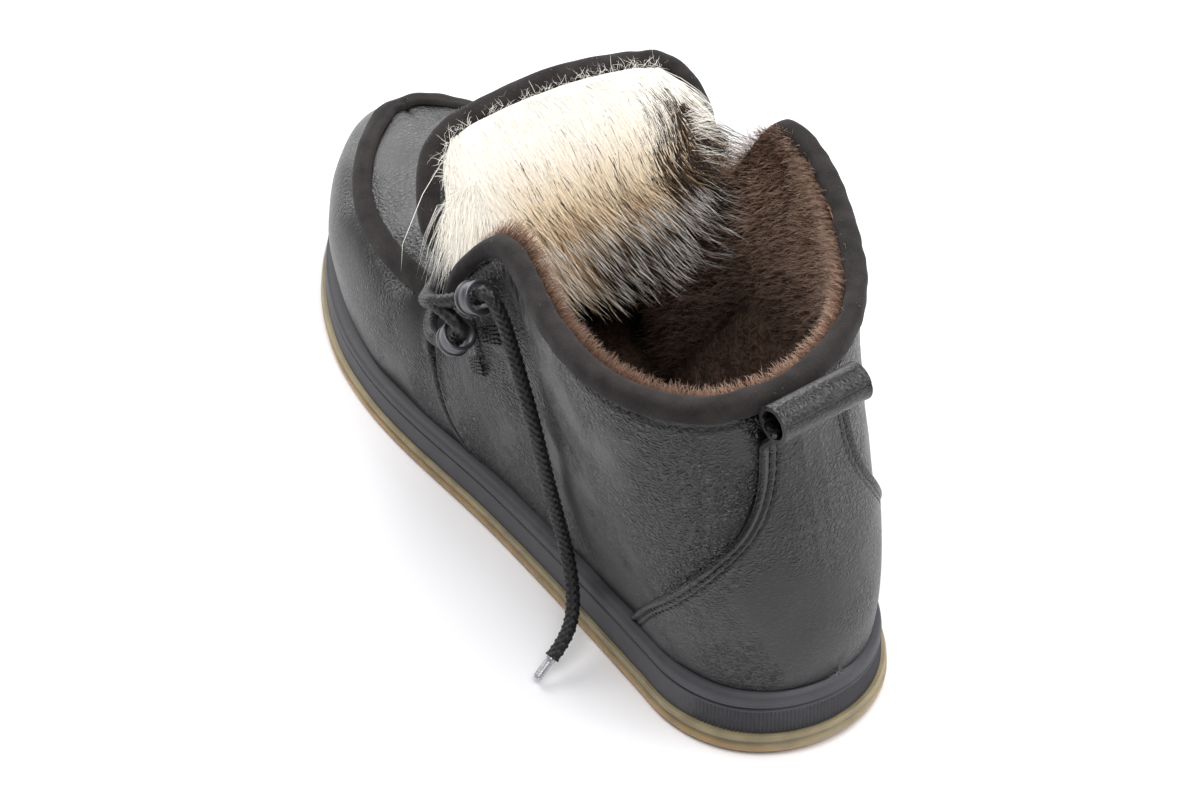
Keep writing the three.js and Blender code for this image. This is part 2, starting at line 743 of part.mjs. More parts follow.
function makeApronBinding() {
  const first = APRON_SEAM[0].share;
  const shares = [first, ...UPPER_SHARES.filter((share) => share > first + 0.004 && share < 1)];
  const [lateral, medial] = SIDES;
  const ends = [...shares].reverse();
  return joinSections([
    ...shares.map((share) => apronSection(lateral, share)),
    apronSection(lateral, 1),
    ...ends.map((share) => apronSection(medial, share)),
  ]);
}

// Tongue: a sheet along its middle line, turned forward over the vamp
function tonguePoint(across, along) {
  if (along > 1) {
    const tip = tonguePoint(across, 1);
    return tip.addScaledVector(tip.clone().sub(tonguePoint(across, 0.98)), (along - 1) / 0.02);
  }
  const read = (column) => readTable(TONGUE, "along", along, column);
  const side = across * across;
  return new THREE.Vector3(
    read("x") + across * read("half"),
    read("y") - TONGUE_BACK * side,
    read("z") - read("fall") * side,
  );
}

function sheet(acrossSteps, alongSteps, place) {
  const surface = new Surface();
  const rows = alongSteps.map((along) =>
    acrossSteps.map((across) => surface.point(place(across, along), { across, along })),
  );
  surface.grid(rows, true);
  return surface;
}

const TONGUE_STATIONS = steps(0, 1, TONGUE_GRID.along);

function makeTongue() {
  const across = steps(-1, 1, TONGUE_GRID.across);
  const surface = sheet(across, TONGUE_STATIONS, tonguePoint);
  return toSolid(thicken(surface, () => -TONGUE_THICKNESS / 2, () => TONGUE_THICKNESS / 2));
}

// Hem folded round the free edge of the tongue: a larger sheet less the tongue and its middle
function makeTongueHem() {
  const { from, depth, thickness, clear, wider, reach } = TONGUE_HEM;
  const near = TONGUE_THICKNESS / 2 + clear;
  const slab = (first, grown, half) => {
    const across = steps(-1 - grown * wider, 1 + grown * wider, TONGUE_GRID.across);
    const last = 1 + grown / reach;
    const along = TONGUE_STATIONS.filter((station) => station > first && station < Math.min(last, 1));
    const surface = sheet(across, [first, ...along, last], tonguePoint);
    return toSolid(thicken(surface, () => -half, () => half));
  };
  const open = from - 0.05;
  const whole = slab(from, thickness, near + thickness);
  return whole.subtract(slab(open, clear, near)).subtract(slab(open, -depth, 3 * near));
}

// Fur pad on the tongue's inner face, thick at the middle, with locks fused on
function furThickness(across, along) {
  const middle = readTable(FUR, "along", along, "thickness");
  const place = (across - FUR_PEAK) / (1 - Math.sign(across - FUR_PEAK) * FUR_PEAK);
  const round = Math.sqrt(Math.max(0, 1 - place * place));
  const furrow = 1 + FUR_FURROW.depth * Math.cos(FUR_FURROW.count * Math.PI * across + 4 * along);
  return FUR_EDGE_THICKNESS + (middle * furrow - FUR_EDGE_THICKNESS) * round;
}

function makeTongueFur() {
  const last = FUR[FUR.length - 1].along;
  const across = steps(-1, 1, FUR_GRID.across);
  const along = steps(FUR[0].along, last, FUR_GRID.along);
  const surface = sheet(across, along, (a, b) => tonguePoint(a * FUR_WIDTH, b));
  const foot = TONGUE_THICKNESS / 2 + 2 * GAP;
  let solid = toSolid(
    thicken(surface, () => foot, (mark) => foot + furThickness(mark.across, mark.along)),
  );
  const normals = surface.normals();
  for (const row of LOCK_ROWS) {
    steps(-LOCK.spread, LOCK.spread, row.count - 1).forEach((a) => {
      const nearest = surface.marks.reduce(
        (best, mark, i) => {
          const off = Math.abs(mark.across - a) + Math.abs(mark.along - row.along);
          return off < best.off ? { off, i } : best;
        },
        { off: Infinity, i: 0 },
      );
      solid = solid.add(furLock(tonguePoint(a * FUR_WIDTH, row.along), normals[nearest.i], a, row));
    });
  }
  return solid;
}

// One tapered lock, rooted inside the pad and hanging into the boot
function furLock(root, normal, across, row) {
  const lift = furThickness(across, row.along) * LOCK.root + TONGUE_THICKNESS / 2;
  const side = LOCK.sweep + LOCK.fan * across;
  const lean = new THREE.Vector3(side, row.leanY, row.leanZ).normalize();
  const cone = new THREE.ConeGeometry(row.radius, row.length, LOCK.sides, 1);
  cone.translate(0, row.length / 2 - LOCK.sunk, 0);
  cone.applyQuaternion(new THREE.Quaternion().setFromUnitVectors(new THREE.Vector3(0, 1, 0), lean));
  const seatPoint = root.addScaledVector(normal, lift);
  cone.translate(seatPoint.x, seatPoint.y, seatPoint.z);
  return toSolid(fromGeometry(cone));
}

// Lace loops: short flanged tubes along the facing, each on a stitched tab
function loopFrame(side, { share, v }) {
  const step = 0.01;
  const normal = upperNormal(side, share, v);
  const edge = topPoint(side, share - step).sub(topPoint(side, share + step));
  const axis = edge.projectOnPlane(normal).normalize();
  const stand = 2 * GAP + OVERLAY + LACE_LOOP.outer;
  const centre = onUpper(side, share, v).addScaledVector(normal, stand);
  return { centre, axis };
}

function makeLaceLoop(side, place) {
  const half = LACE_LOOP.length / 2;
  const { outer, inner, waist, rim } = LACE_LOOP;
  const profile = [
    [inner, -half],
    [outer - 0.4, -half],
    [outer, -half + 0.4],
    [outer, -half + rim],
    [waist, -half + rim + 0.5],
    [waist, half - rim - 0.5],
    [outer, half - rim],
    [outer, half - 0.4],
    [outer - 0.4, half],
    [inner, half],
    [inner, -half],
  ].map(([x, y]) => new THREE.Vector2(x, y));
  const tube = new THREE.LatheGeometry(profile, LACE_LOOP.sides);
  const { centre, axis } = loopFrame(side, place);
  tube.applyQuaternion(new THREE.Quaternion().setFromUnitVectors(new THREE.Vector3(0, 1, 0), axis));
  tube.translate(centre.x, centre.y, centre.z);
  return toSolid(fromGeometry(tube));
}

function makeLaceTab(side, { tabShare, tabFrom, tabTo }) {
  const shares = steps(-LACE_TAB_HALF, LACE_TAB_HALF, 2).map((d) => () => tabShare + d);
  const cutter = patch([side], shares, steps(tabFrom, tabTo, 4), 3 * OVERLAY);
  return largest(shell(GAP, GAP + OVERLAY).intersect(cutter));
}

// Pull loop: leather rolled into a tube across the back of the collar
function makePullLoop() {
  const { length, outer, inner, middle, height, yaw, clear } = PULL_LOOP;
  const back = steps(0.6, 1, 200)
    .map((v) => onUpper(SIDES[0], 0, v))
    .reduce((best, p) => (Math.abs(p.z - height) < Math.abs(best.z - height) ? p : best));
  const y = back.y - 2 * GAP - OVERLAY - outer - clear;
  const profile = [
    [inner, -length / 2],
    [outer, -length / 2],
    [outer, length / 2],
    [inner, length / 2],
    [inner, -length / 2],
  ].map(([r, x]) => new THREE.Vector2(r, x));
  const tube = new THREE.LatheGeometry(profile, 18);
  tube.rotateZ(THREE.MathUtils.degToRad(yaw) - Math.PI / 2);
  tube.translate(middle, y, height);
  return toSolid(fromGeometry(tube));
}

// Laces: tubes along smooth routes
function cord(route, count, radius) {
  const curve = new THREE.CatmullRomCurve3(route.map((p) => new THREE.Vector3(...p)));
  const round = new THREE.Shape();
  round.absarc(0, 0, radius, 0, 2 * Math.PI);
  const tube = new THREE.ExtrudeGeometry(round, {
    extrudePath: curve,
    steps: count,
    curveSegments: LACE_SIDES,
  });
  return toSolid(fromGeometry(tube));
}

// One bar between the lower loops and two rising strands that cross, joined where they meet
function makeLaceCrossings() {
  const [lateral, medial] = SIDES;
  const [upperLoop, lowerLoop] = LACE_LOOPS;
  const clear = LACE_LOOP.length / 2 + LACE_CLEAR;
  const mouth = (side, place, end) => {
    const { centre, axis } = loopFrame(side, place);
    return centre.addScaledVector(axis, end * clear).toArray();
  };
  const mirror = (route) => route.map(([x, y, z]) => [2 * LACE_MIRROR - x, y, z]);
  const bar = [
    mouth(lateral, lowerLoop, -1),
    ...LACE_BAR_ROUTE,
    LACE_BAR_MIDDLE,
    ...mirror(LACE_BAR_ROUTE).reverse(),
    mouth(medial, lowerLoop, -1),
  ];
  const rising = [...LACE_RISING_ROUTE, LACE_RISING_MIDDLE, ...LACE_FALLING_ROUTE];
  const strands = [
    [mouth(lateral, lowerLoop, 1), ...rising, mouth(medial, upperLoop, -1)],
    [mouth(medial, lowerLoop, 1), ...mirror(rising), mouth(lateral, upperLoop, -1)],
  ];
  return strands.reduce(
    (solid, route) => solid.add(cord(route, 15, LACE_RADIUS)),
    cord(bar, 12, LACE_RADIUS),
  );
}

// Stiff tip crimped on the free end, in line with the lace
function makeLaceTip() {
  const [before, last] = LACE_END_ROUTE.slice(-2).map((p) => new THREE.Vector3(...p));
  const along = last.clone().sub(before).normalize();
  const start = last.clone().addScaledVector(along, GAP);
  const end = start.clone().addScaledVector(along, AGLET.length);
  return cord([start.toArray(), end.toArray()], 1, AGLET.radius);
}

addPiece("outsole", makeOutsole(), "gum");
addPiece("midsole", makeMidsole(), "midsole");
addPiece("insole", makeInsole(), "footbed");
addPiece("upper", makeUpper(), "leather");
addPiece("heel_counter", makeCounter(), "leather");
addPiece("collar_binding", makeCollarBinding(), "suede");
addPiece("apron_binding", makeApronBinding(), "suede");
addPiece("tongue", makeTongue(), "leather");
addPiece("tongue_hem", makeTongueHem(), "suede");
addPiece("tongue_fur", makeTongueFur(), "fur");
addPiece("pull_loop", makePullLoop(), "leather");
for (const side of SIDES) {
  for (const place of LACE_LOOPS) {
    addPiece(`lace_loop_${place.name}_${side.name}`, makeLaceLoop(side, place), "loop");
    addPiece(`lace_tab_${place.name}_${side.name}`, makeLaceTab(side, place), "leather");
  }
}
addPiece("lace_crossings", makeLaceCrossings(), "cord");
addPiece("lace_end_lateral", cord(LACE_END_ROUTE, 23, LACE_RADIUS), "cord");
addPiece("lace_tip_lateral", makeLaceTip(), "tip");

export default part;
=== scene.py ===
"""A left lace-up ankle boot: leather, suede, fur, shearling and rubber over its frame."""

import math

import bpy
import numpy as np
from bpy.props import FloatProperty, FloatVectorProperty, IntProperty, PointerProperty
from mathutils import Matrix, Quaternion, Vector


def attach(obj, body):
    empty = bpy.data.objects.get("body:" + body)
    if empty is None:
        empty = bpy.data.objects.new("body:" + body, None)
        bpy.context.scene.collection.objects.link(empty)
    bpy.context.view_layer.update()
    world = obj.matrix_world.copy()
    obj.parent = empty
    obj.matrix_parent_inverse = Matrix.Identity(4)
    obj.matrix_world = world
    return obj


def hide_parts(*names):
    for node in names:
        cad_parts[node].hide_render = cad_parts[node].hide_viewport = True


bl_info = {
    "name": "Lace-up ankle boot",
    "version": (1, 0, 0),
    "blender": (4, 5, 0),
    "location": "3D View > Sidebar > Boot",
    "description": "Dresses the frame of a left lace-up ankle boot",
    "category": "Object",
}

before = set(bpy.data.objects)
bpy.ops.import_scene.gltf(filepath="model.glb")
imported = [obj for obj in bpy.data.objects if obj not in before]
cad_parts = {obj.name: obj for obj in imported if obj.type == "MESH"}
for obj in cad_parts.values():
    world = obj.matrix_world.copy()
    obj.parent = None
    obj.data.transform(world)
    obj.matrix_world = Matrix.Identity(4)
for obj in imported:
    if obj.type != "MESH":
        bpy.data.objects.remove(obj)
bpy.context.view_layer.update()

MM = 0.001
UP = np.array((0.0, 0.0, 1.0))
SEED = 7


def table(names, *rows):
    """Named columns of a short table. The first column says where each row stands."""
    return {name: np.array([row[i] for row in rows], float) for i, name in enumerate(names.split())}


# Driving sizes in millimetres, the same as the solids have
SOLE_LENGTH = 300
TOE_SPRING = 9
TOE_SPRING_FROM = 0.72
HEEL_BEVEL = 1.6
HEEL_BEVEL_TO = 0.06
TOE_SWING = 5.3
TOE_SWING_FROM = 0.55
HEEL_ROUND = 0.13
TOE_ROUND = 0.28
TOE_FULLNESS = 2.3
GAP = 0.3
FEATHER_INSET = 6
WALL = 2.2
OVERLAY = 1.3
INSOLE_INSET = 10.5
INSOLE_THICKNESS = 5
TONGUE_THICKNESS = 3
APRON_BAND = 9
APRON_CROWN = 2.3
LACE_RADIUS = 2.2
LACE_MIRROR = 6.5
BINDING_END = 0.525
TONGUE_BACK = 2
FUR_WIDTH = 0.81
FUR_EDGE = 3
FUR_PEAK = 0.3
HEEL_EASE = 0.02
APRON_EASE = 0.014

# Where along one side's outline, from heel 0 to toe 1, the round of the heel ends and the toe begins
HEEL_SHARE = 0.22
TOE_SHARE = 0.78
THROAT_SHARE = 0.6

FOOTPRINT = table(
    "along lateral medial",
    (0, 38.5, 38.5),
    (0.16, 39.5, 38.5),
    (0.42, 45, 35),
    (0.66, 53.5, 52),
    (0.85, 50, 51),
    (1, 43, 44),
)
LAYERS = table(
    "along outsole midsole",
    (0, 7, 15),
    (0.3, 6.5, 13.5),
    (0.65, 5.5, 11),
    (1, 5, 10),
)
OUTSOLE_PROFILE = table(
    "rise outset",
    (0, -1.4),
    (0.14, -0.1),
    (0.45, 0.1),
    (0.62, -0.7),
    (0.8, -0.1),
    (1, -0.6),
)
MIDSOLE_PROFILE = table(
    "rise outset",
    (0, -1.6),
    (0.59, -2.1),
    (0.62, -2.2),
    (0.66, -3),
    (0.7, -2.15),
    (0.74, -2.1),
    (0.93, -2.7),
    (1, -4.2),
)
TOP_EDGE = table(
    "share lateral_x lateral_y medial_x medial_y z",
    (0, -2.2, -125.1, -2.2, -125.1, 125.3),
    (0.073, -27.6, -121.9, 21.9, -113.6, 125.3),
    (0.147, -42.4, -108.1, 36.1, -99.4, 125.3),
    (0.22, -48.7, -89.9, 45.7, -82.5, 125.3),
    (0.29, -48.3, -67.5, 54.6, -62.3, 125.3),
    (0.35, -44.6, -49, 60.1, -44.2, 125.5),
    (0.385, -42.6, -37, 61.8, -31.5, 125.5),
    (0.41, -42.6, -28, 61.3, -23, 123.5),
    (0.43, -44, -20.5, 61, -17, 117),
    (0.46, -46, -10, 60.5, -8.5, 103),
    (0.5, -43.5, 2, 57, 2, 83.5),
    (0.53, -38.5, 10.5, 51, 10.5, 71.5),
    (0.56, -26, 16.8, 38, 16.8, 68.5),
    (0.6, 6, 19, 6, 19, 72.5),
)
RIDGE = table(
    "share x y z",
    (0.6, 6, 19, 72.5),
    (0.7, 5.5, 50, 69),
    (0.78, 5, 80, 65),
    (0.86, 5, 104, 61.2),
    (0.93, 5.2, 120, 58),
    (1, 5.3, 128.5, 55.2),
)
BEND = table(
    "share rise swell reach lean drop shift",
    (0, 38, 4, 0, 5, 40, 0),
    (0.22, 34, 6, 0, 0, 42, 0),
    (0.39, 32, 6, 0, 1, 40, 0),
    (0.5, 30, 5, 0.15, 1, 20, 0.012),
    (0.56, 32, 4.5, 0.45, 0, 3, 0.03),
    (0.63, 36, 5, 0.68, 0, 0, 0.034),
    (0.7, 36, 7, 0.7, 0, 0, 0.022),
    (0.78, 35, 8.5, 0.72, 0, 0, 0),
    (1, 25, 6.5, 0.75, 0, 0, 0),
)
APRON_SEAM = table(
    "share v",
    (0.62, 0.524),
    (0.69, 0.519),
    (0.74, 0.526),
    (0.78, 0.54),
    (0.815, 0.56),
    (0.85, 0.613),
    (0.88, 0.668),
    (0.92, 0.742),
    (0.96, 0.79),
    (1, 0.87),
)
SIDE_SEAM = table(
    "v share",
    (0, 0.535),
    (0.056, 0.554),
    (0.139, 0.57),
    (0.21, 0.585),
    (0.274, 0.6),
    (0.357, 0.614),
    (0.44, 0.626),
)
COUNTER_EDGE = table(
    "v share",
    (0, 0.268),
    (0.166, 0.225),
    (0.4, 0.143),
    (0.5, 0.106),
    (0.6, 0.074),
    (0.7, 0.056),
    (0.83, 0.047),
    (1, 0.043),
)
TONGUE = table(
    "along x y z half fall",
    (0, 6, 24, 66, 14, 2.6),
    (0.09, 6, 20, 66.2, 15, 2.8),
    (0.16, 5, 16, 68.6, 14.5, 2.8),
    (0.22, 5.5, 14.2, 74, 26, 2.4),
    (0.3, 8.5, 15, 81, 39, 3.4),
    (0.42, 11, 20.5, 89.5, 48.5, 5),
    (0.55, 13.3, 28, 97, 52.5, 6),
    (0.7, 16, 37.5, 103.5, 51.5, 6),
    (0.84, 17.8, 45.5, 108, 48, 6),
    (0.93, 19, 50.5, 110.3, 43, 6),
    (1, 20, 53.3, 111.4, 35, 6),
)
FUR = table(
    "along thickness",
    (0.17, 19),
    (0.28, 25),
    (0.5, 20),
    (0.75, 11),
    (0.885, 4.5),
)

# Lace loops as places on the upper, each with the tab that holds it
LACE_LOOPS = {
    "upper": {"share": 0.415, "v": 0.859, "tab": 0.428, "low": 0.67, "high": 0.88},
    "lower": {"share": 0.449, "v": 0.749, "tab": 0.463, "low": 0.56, "high": 0.78},
}
LACE_LOOP = {"outer": 5.4, "bore": 4.1, "waist": 4.65, "length": 7, "rim": 1.3}
LACE_TAB_HALF = 0.013
SIDES = {"lateral": -1, "medial": 1}

# Routes of the lace, given one by one: its free end, the bar, and a strand that crosses the throat
LACE_END_ROUTE = [
    (-50, -31.1, 110.1),
    (-49.6, -33.7, 112.3),
    (-48.6, -37, 110.5),
    (-47.4, -39.6, 105),
    (-46.7, -43, 97),
    (-46.6, -49.5, 86),
    (-46.6, -54.5, 77),
    (-46, -57.5, 67),
    (-44.6, -60, 53.5),
    (-43, -62.5, 40),
    (-42.4, -66, 30),
    (-43.6, -71, 22.5),
    (-46, -76, 16.5),
    (-49.5, -79.6, 12),
    (-54, -82, 8.6),
    (-57.8, -83.2, 6.3),
]
LACE_BAR_ROUTE = [
    (-52.5, -6, 75),
    (-50, 4, 69.5),
    (-44.5, 14, 66.5),
    (-36, 22, 68.5),
    (-18, 31, 73.5),
]
LACE_BAR_MIDDLE = (6, 34, 75.5)
LACE_RISING_ROUTE = [
    (-54, -22, 94.5),
    (-56, -14, 96),
    (-54, -4, 90.5),
    (-50.5, 4, 84),
    (-46, 11, 78),
    (-37, 22, 73),
    (-17, 32, 75),
]
LACE_RISING_MIDDLE = (6, 35.5, 78)
LACE_UNDER_MIDDLE = (6, 38, 81.5)
LACE_FALLING_ROUTE = [
    (30, 33, 77),
    (50, 21.5, 74.5),
    (61.5, 8, 81),
    (68, -5, 91),
    (68.5, -15, 98),
]
AGLET = {"radius": 1.4, "length": 7.5}

# Pull loop rolled from leather across the back of the collar
PULL_LOOP = {"length": 30.8, "outer": 4.2, "wall": 1.4, "yaw": 6}
PULL_LOOP_MIDDLE = (-0.7, -132.0, 123.4)

# Creases listed one by one: a bowed line on the upper, its half width, and its depth in millimetres
# A negative share is the outer side, and a negative depth is a ridge
CREASES = table(
    "s1 v1 s2 v2 s3 v3 half depth",
    (-0.408, 0.93, -0.385, 0.76, -0.335, 0.66, 6.5, 2.0),
    (-0.378, 0.95, -0.352, 0.84, -0.318, 0.75, 4.5, -0.9),
    (-0.345, 0.66, -0.3, 0.6, -0.245, 0.6, 6, 1.1),
    (-0.43, 0.55, -0.385, 0.47, -0.33, 0.42, 7, 1.0),
    (-0.455, 0.42, -0.41, 0.3, -0.36, 0.25, 6, 0.7),
    (-0.29, 0.86, -0.24, 0.78, -0.19, 0.75, 7, 0.7),
    (-0.21, 0.52, -0.26, 0.42, -0.32, 0.36, 8, 0.6),
    (-0.365, 0.985, -0.362, 0.94, -0.356, 0.9, 1.1, 0.6),
    (-0.378, 0.985, -0.375, 0.93, -0.368, 0.88, 1.2, 0.7),
    (-0.392, 0.985, -0.39, 0.93, -0.385, 0.89, 1.1, 0.6),
    (-0.404, 0.985, -0.402, 0.94, -0.398, 0.9, 1.0, 0.5),
    (0.408, 0.93, 0.385, 0.76, 0.335, 0.66, 6.5, 1.6),
    (0.345, 0.66, 0.3, 0.58, 0.245, 0.55, 7, 0.9),
    (0.43, 0.55, 0.385, 0.47, 0.33, 0.42, 7, 0.9),
    (0.378, 0.985, 0.375, 0.93, 0.368, 0.88, 1.2, 0.6),
    (-0.05, 0.3, 0.0, 0.26, 0.06, 0.3, 9, 0.5),
    (-0.7, 0.3, -0.76, 0.27, -0.82, 0.3, 7, 0.5),
    (0.7, 0.3, 0.76, 0.27, 0.82, 0.3, 7, 0.5),
    (-0.66, 0.78, -0.68, 0.9, -0.69, 1.0, 7, 0.7),
    (0.66, 0.78, 0.68, 0.9, 0.69, 1.0, 7, 0.7),
)

# Smooth forms of the boot


def unit(vectors):
    """Vectors of length one."""
    return vectors / np.maximum(np.linalg.norm(vectors, axis=-1, keepdims=True), 1e-9)


def smooth(values):
    """A soft step from 0 to 1."""
    t = np.clip(values, 0, 1)
    return t * t * (3 - 2 * t)


def points(x, y, z):
    """Points from three columns, any of which may be a single number."""
    return np.stack(np.broadcast_arrays(x, y, z), axis=-1).astype(float)


def read(rows, column, at):
    """A column read on a smooth curve through the rows of its table."""
    places = next(iter(rows.values()))
    values = rows[column]
    at = np.asarray(at, float)
    i = np.searchsorted(places[1:-1], at, side="left")
    before = np.maximum(i - 1, 0)
    after = np.minimum(i + 2, len(places) - 1)
    span = places[i + 1] - places[i]
    t = np.clip((at - places[i]) / span, 0, 1)
    rise = values[i + 1] - values[i]
    start = (values[i + 1] - values[before]) / (places[i + 1] - places[before]) * span
    end = (values[after] - values[i]) / (places[after] - places[i]) * span
    return values[i] + rise * t + t * (1 - t) * ((1 - t) * (start - rise) - t * (end - rise))


def wrap(s):
    """A signed share: negative on the outer side, positive on the inner, joined at heel and toe."""
    return (np.asarray(s, float) + 1) % 2 - 1


def along_at(share):
    """Place along the sole's length for a share of one side's outline."""
    heel = HEEL_ROUND * (1 - np.cos(np.clip(share / HEEL_SHARE, 0, 1) * np.pi / 2))
    straight = (share - HEEL_SHARE) / (TOE_SHARE - HEEL_SHARE)
    middle = HEEL_ROUND + straight * (1 - TOE_ROUND - HEEL_ROUND)
    turn = np.clip((share - TOE_SHARE) / (1 - TOE_SHARE), 0, 1) * np.pi / 2
    toe = 1 - TOE_ROUND + TOE_ROUND * np.sin(turn) ** (2 / TOE_FULLNESS)
    return np.where(share <= HEEL_SHARE, heel, np.where(share <= TOE_SHARE, middle, toe))


def outline(s, outset, z):
    """A point on the footprint, moved out by outset."""
    s = wrap(s)
    along = along_at(np.abs(s))
    half = np.where(s < 0, read(FOOTPRINT, "lateral", along), read(FOOTPRINT, "medial", along))
    heel = np.clip((HEEL_ROUND - along) / HEEL_ROUND, 0, 1)
    toe = np.clip((along - 1 + TOE_ROUND) / TOE_ROUND, 0, 1)
    ends = np.sqrt(1 - heel**2) * np.maximum(0, 1 - toe**TOE_FULLNESS) ** (1 / TOE_FULLNESS)
    swing = np.clip((along - TOE_SWING_FROM) / (1 - TOE_SWING_FROM), 0, 1)
    x = TOE_SWING * swing**2 + np.where(s < 0, -1, 1) * (half + outset) * ends
    return points(x, (along - 0.5) * (SOLE_LENGTH + 2 * outset), z)


def outwards(s):
    """The level direction away from the footprint."""
    run = outline(s + 0.004, 0, 0) - outline(s - 0.004, 0, 0)
    return unit(points(run[..., 1], -run[..., 0], 0))


def sole_bottom(along):
    """Height of the sole's underside, with the toe spring and the heel's bevel."""
    toe = np.maximum(0, (along - TOE_SPRING_FROM) / (1 - TOE_SPRING_FROM))
    heel = np.maximum(0, (HEEL_BEVEL_TO - along) / HEEL_BEVEL_TO)
    return TOE_SPRING * toe**2 + HEEL_BEVEL * heel**2


def midsole_bottom(along):
    """Height at which the midsole starts."""
    return sole_bottom(along) + read(LAYERS, "outsole", along) + GAP


def seat(along):
    """Height of the midsole's top, on which the upper sits."""
    return midsole_bottom(along) + read(LAYERS, "midsole", along)


def top_point(s):
    """The collar, facing and throat edge, then the ridge of the vamp."""
    s = wrap(s)
    share = np.abs(s)
    outer = s < 0
    x = np.where(outer, read(TOP_EDGE, "lateral_x", share), read(TOP_EDGE, "medial_x", share))
    y = np.where(outer, read(TOP_EDGE, "lateral_y", share), read(TOP_EDGE, "medial_y", share))
    edge = points(x, y, read(TOP_EDGE, "z", share))
    ridge = points(*(read(RIDGE, column, share) for column in "xyz"))
    return np.where((share >= THROAT_SHARE)[..., None], ridge, edge)


def rib(s):
    """The four control points of the upper's rib from the sole to the top edge or ridge."""
    s = wrap(s)
    ease = HEEL_EASE * (1 - smooth(np.abs(s) / (4 * HEEL_EASE)))
    sides = zip(plain_rib(s - ease), plain_rib(s), plain_rib(s + ease))
    return [(before + 2 * here + after) / 4 for before, here, after in sides]


def plain_rib(s):
    """A rib before the back of the heel is rounded off."""
    s = wrap(s)
    bend = {name: read(BEND, name, np.abs(s))[..., None] for name in BEND}
    foot_s = s + np.where(s < 0, -1, 1) * bend["shift"][..., 0]
    foot = outline(foot_s, -FEATHER_INSET, seat(along_at(np.abs(wrap(foot_s)))) + GAP)
    top = top_point(s)
    away = outwards(foot_s)
    lower = foot + bend["rise"] * UP + bend["swell"] * away
    level = points(foot[..., 0], foot[..., 1], top[..., 2])
    upper = top + bend["reach"] * (level - top) + bend["lean"] * away - bend["drop"] * UP
    return foot, lower, upper, top


def arc(corners, t):
    """A point on a cubic arc."""
    a, b, c, d = corners
    t = np.asarray(t, float)[..., None]
    return (1 - t) ** 3 * a + 3 * t * (1 - t) ** 2 * b + 3 * t**2 * (1 - t) * c + t**3 * d


def on_upper(s, v):
    """A point of the upper at height v on its rib."""
    return arc(rib(s), v)


def upper_normal(s, v, step=0.003):
    """The direction out of the upper."""
    run = arc(rib(s + step), v) - arc(rib(s - step), v)
    corners = rib(s)
    rise = arc(corners, np.minimum(v + step, 1)) - arc(corners, np.maximum(v - step, 0))
    return unit(np.cross(run, rise))


def below_edge(s, depth):
    """The height v that lies depth below the top edge along the rib."""
    s = np.asarray(s, float)
    heights = np.linspace(1, 0, 61)
    line = arc([corner[..., None, :] for corner in rib(s)], heights)
    lengths = np.cumsum(np.linalg.norm(np.diff(line, axis=-2), axis=-1), axis=-1)
    lengths = np.concatenate([np.zeros(s.shape + (1,)), lengths], axis=-1)
    depth = np.broadcast_to(depth, s.shape)
    k = np.clip((lengths < depth[..., None]).sum(-1), 1, len(heights) - 1)
    low = np.take_along_axis(lengths, (k - 1)[..., None], -1)[..., 0]
    high = np.take_along_axis(lengths, k[..., None], -1)[..., 0]
    t = np.clip((depth - low) / np.maximum(high - low, 1e-9), 0, 1)
    return heights[k - 1] + t * (heights[k] - heights[k - 1])


def by_edge(s, depth, off):
    """A point near the top edge: depth below it, or above it where negative, and off along the normal."""
    v = below_edge(s, np.maximum(depth, 0))
    _, _, upper, top = rib(s)
    above = np.maximum(-np.asarray(depth, float), 0)[..., None] * unit(top - upper)
    return on_upper(s, v) + upper_normal(s, np.minimum(v, 0.995)) * np.asarray(off)[..., None] + above


def rib_length(s):
    """Length of the upper's rib, from the sole to its top."""
    line = arc([corner[..., None, :] for corner in rib(s)], np.linspace(0, 1, 41))
    return np.linalg.norm(np.diff(line, axis=-2), axis=-1).sum(-1)


def share_width(s, v, step=0.003):
    """Millimetres of the upper's surface for one whole share, at a place."""
    return np.linalg.norm(arc(rib(s + step), v) - arc(rib(s - step), v), axis=-1) / (2 * step)


def tongue_point(across, along):
    """A point in the middle of the tongue's thickness."""
    side = across**2
    return points(
        read(TONGUE, "x", along) + across * read(TONGUE, "half", along),
        read(TONGUE, "y", along) - TONGUE_BACK * side,
        read(TONGUE, "z", along) - read(TONGUE, "fall", along) * side,
    )


def tongue_normal(across, along, step=0.004):
    """Out of the furred face, which looks up and back."""
    low = np.maximum(along - step, 0)
    high = np.minimum(along + step, 1)
    run = tongue_point(across + step, along) - tongue_point(across - step, along)
    return unit(np.cross(run, tongue_point(across, high) - tongue_point(across, low)))


def fur_face(across, along, share=1.0):
    """The fur pad's face, at a share of its thickness above the tongue."""
    place = (across - FUR_PEAK) / (1 - np.sign(across - FUR_PEAK) * FUR_PEAK)
    middle = read(FUR, "thickness", along)
    thick = FUR_EDGE + (middle - FUR_EDGE) * np.sqrt(np.clip(1 - place**2, 0, 1))
    lift = TONGUE_THICKNESS / 2 + 2 * GAP + np.asarray(share) * thick
    across = across * FUR_WIDTH
    return tongue_point(across, along) + tongue_normal(across, along) * lift[..., None]


def loop_frame(side, place):
    """Middle, axis and outward direction of one lace loop."""
    s = np.array(side * place["share"])
    v = np.array(place["v"])
    normal = upper_normal(s, v)
    edge = top_point(s - side * 0.01) - top_point(s + side * 0.01)
    axis = unit(edge - normal * np.sum(edge * normal))
    stand = 2 * GAP + OVERLAY + LACE_LOOP["outer"]
    return on_upper(s, v) + normal * stand, axis, normal


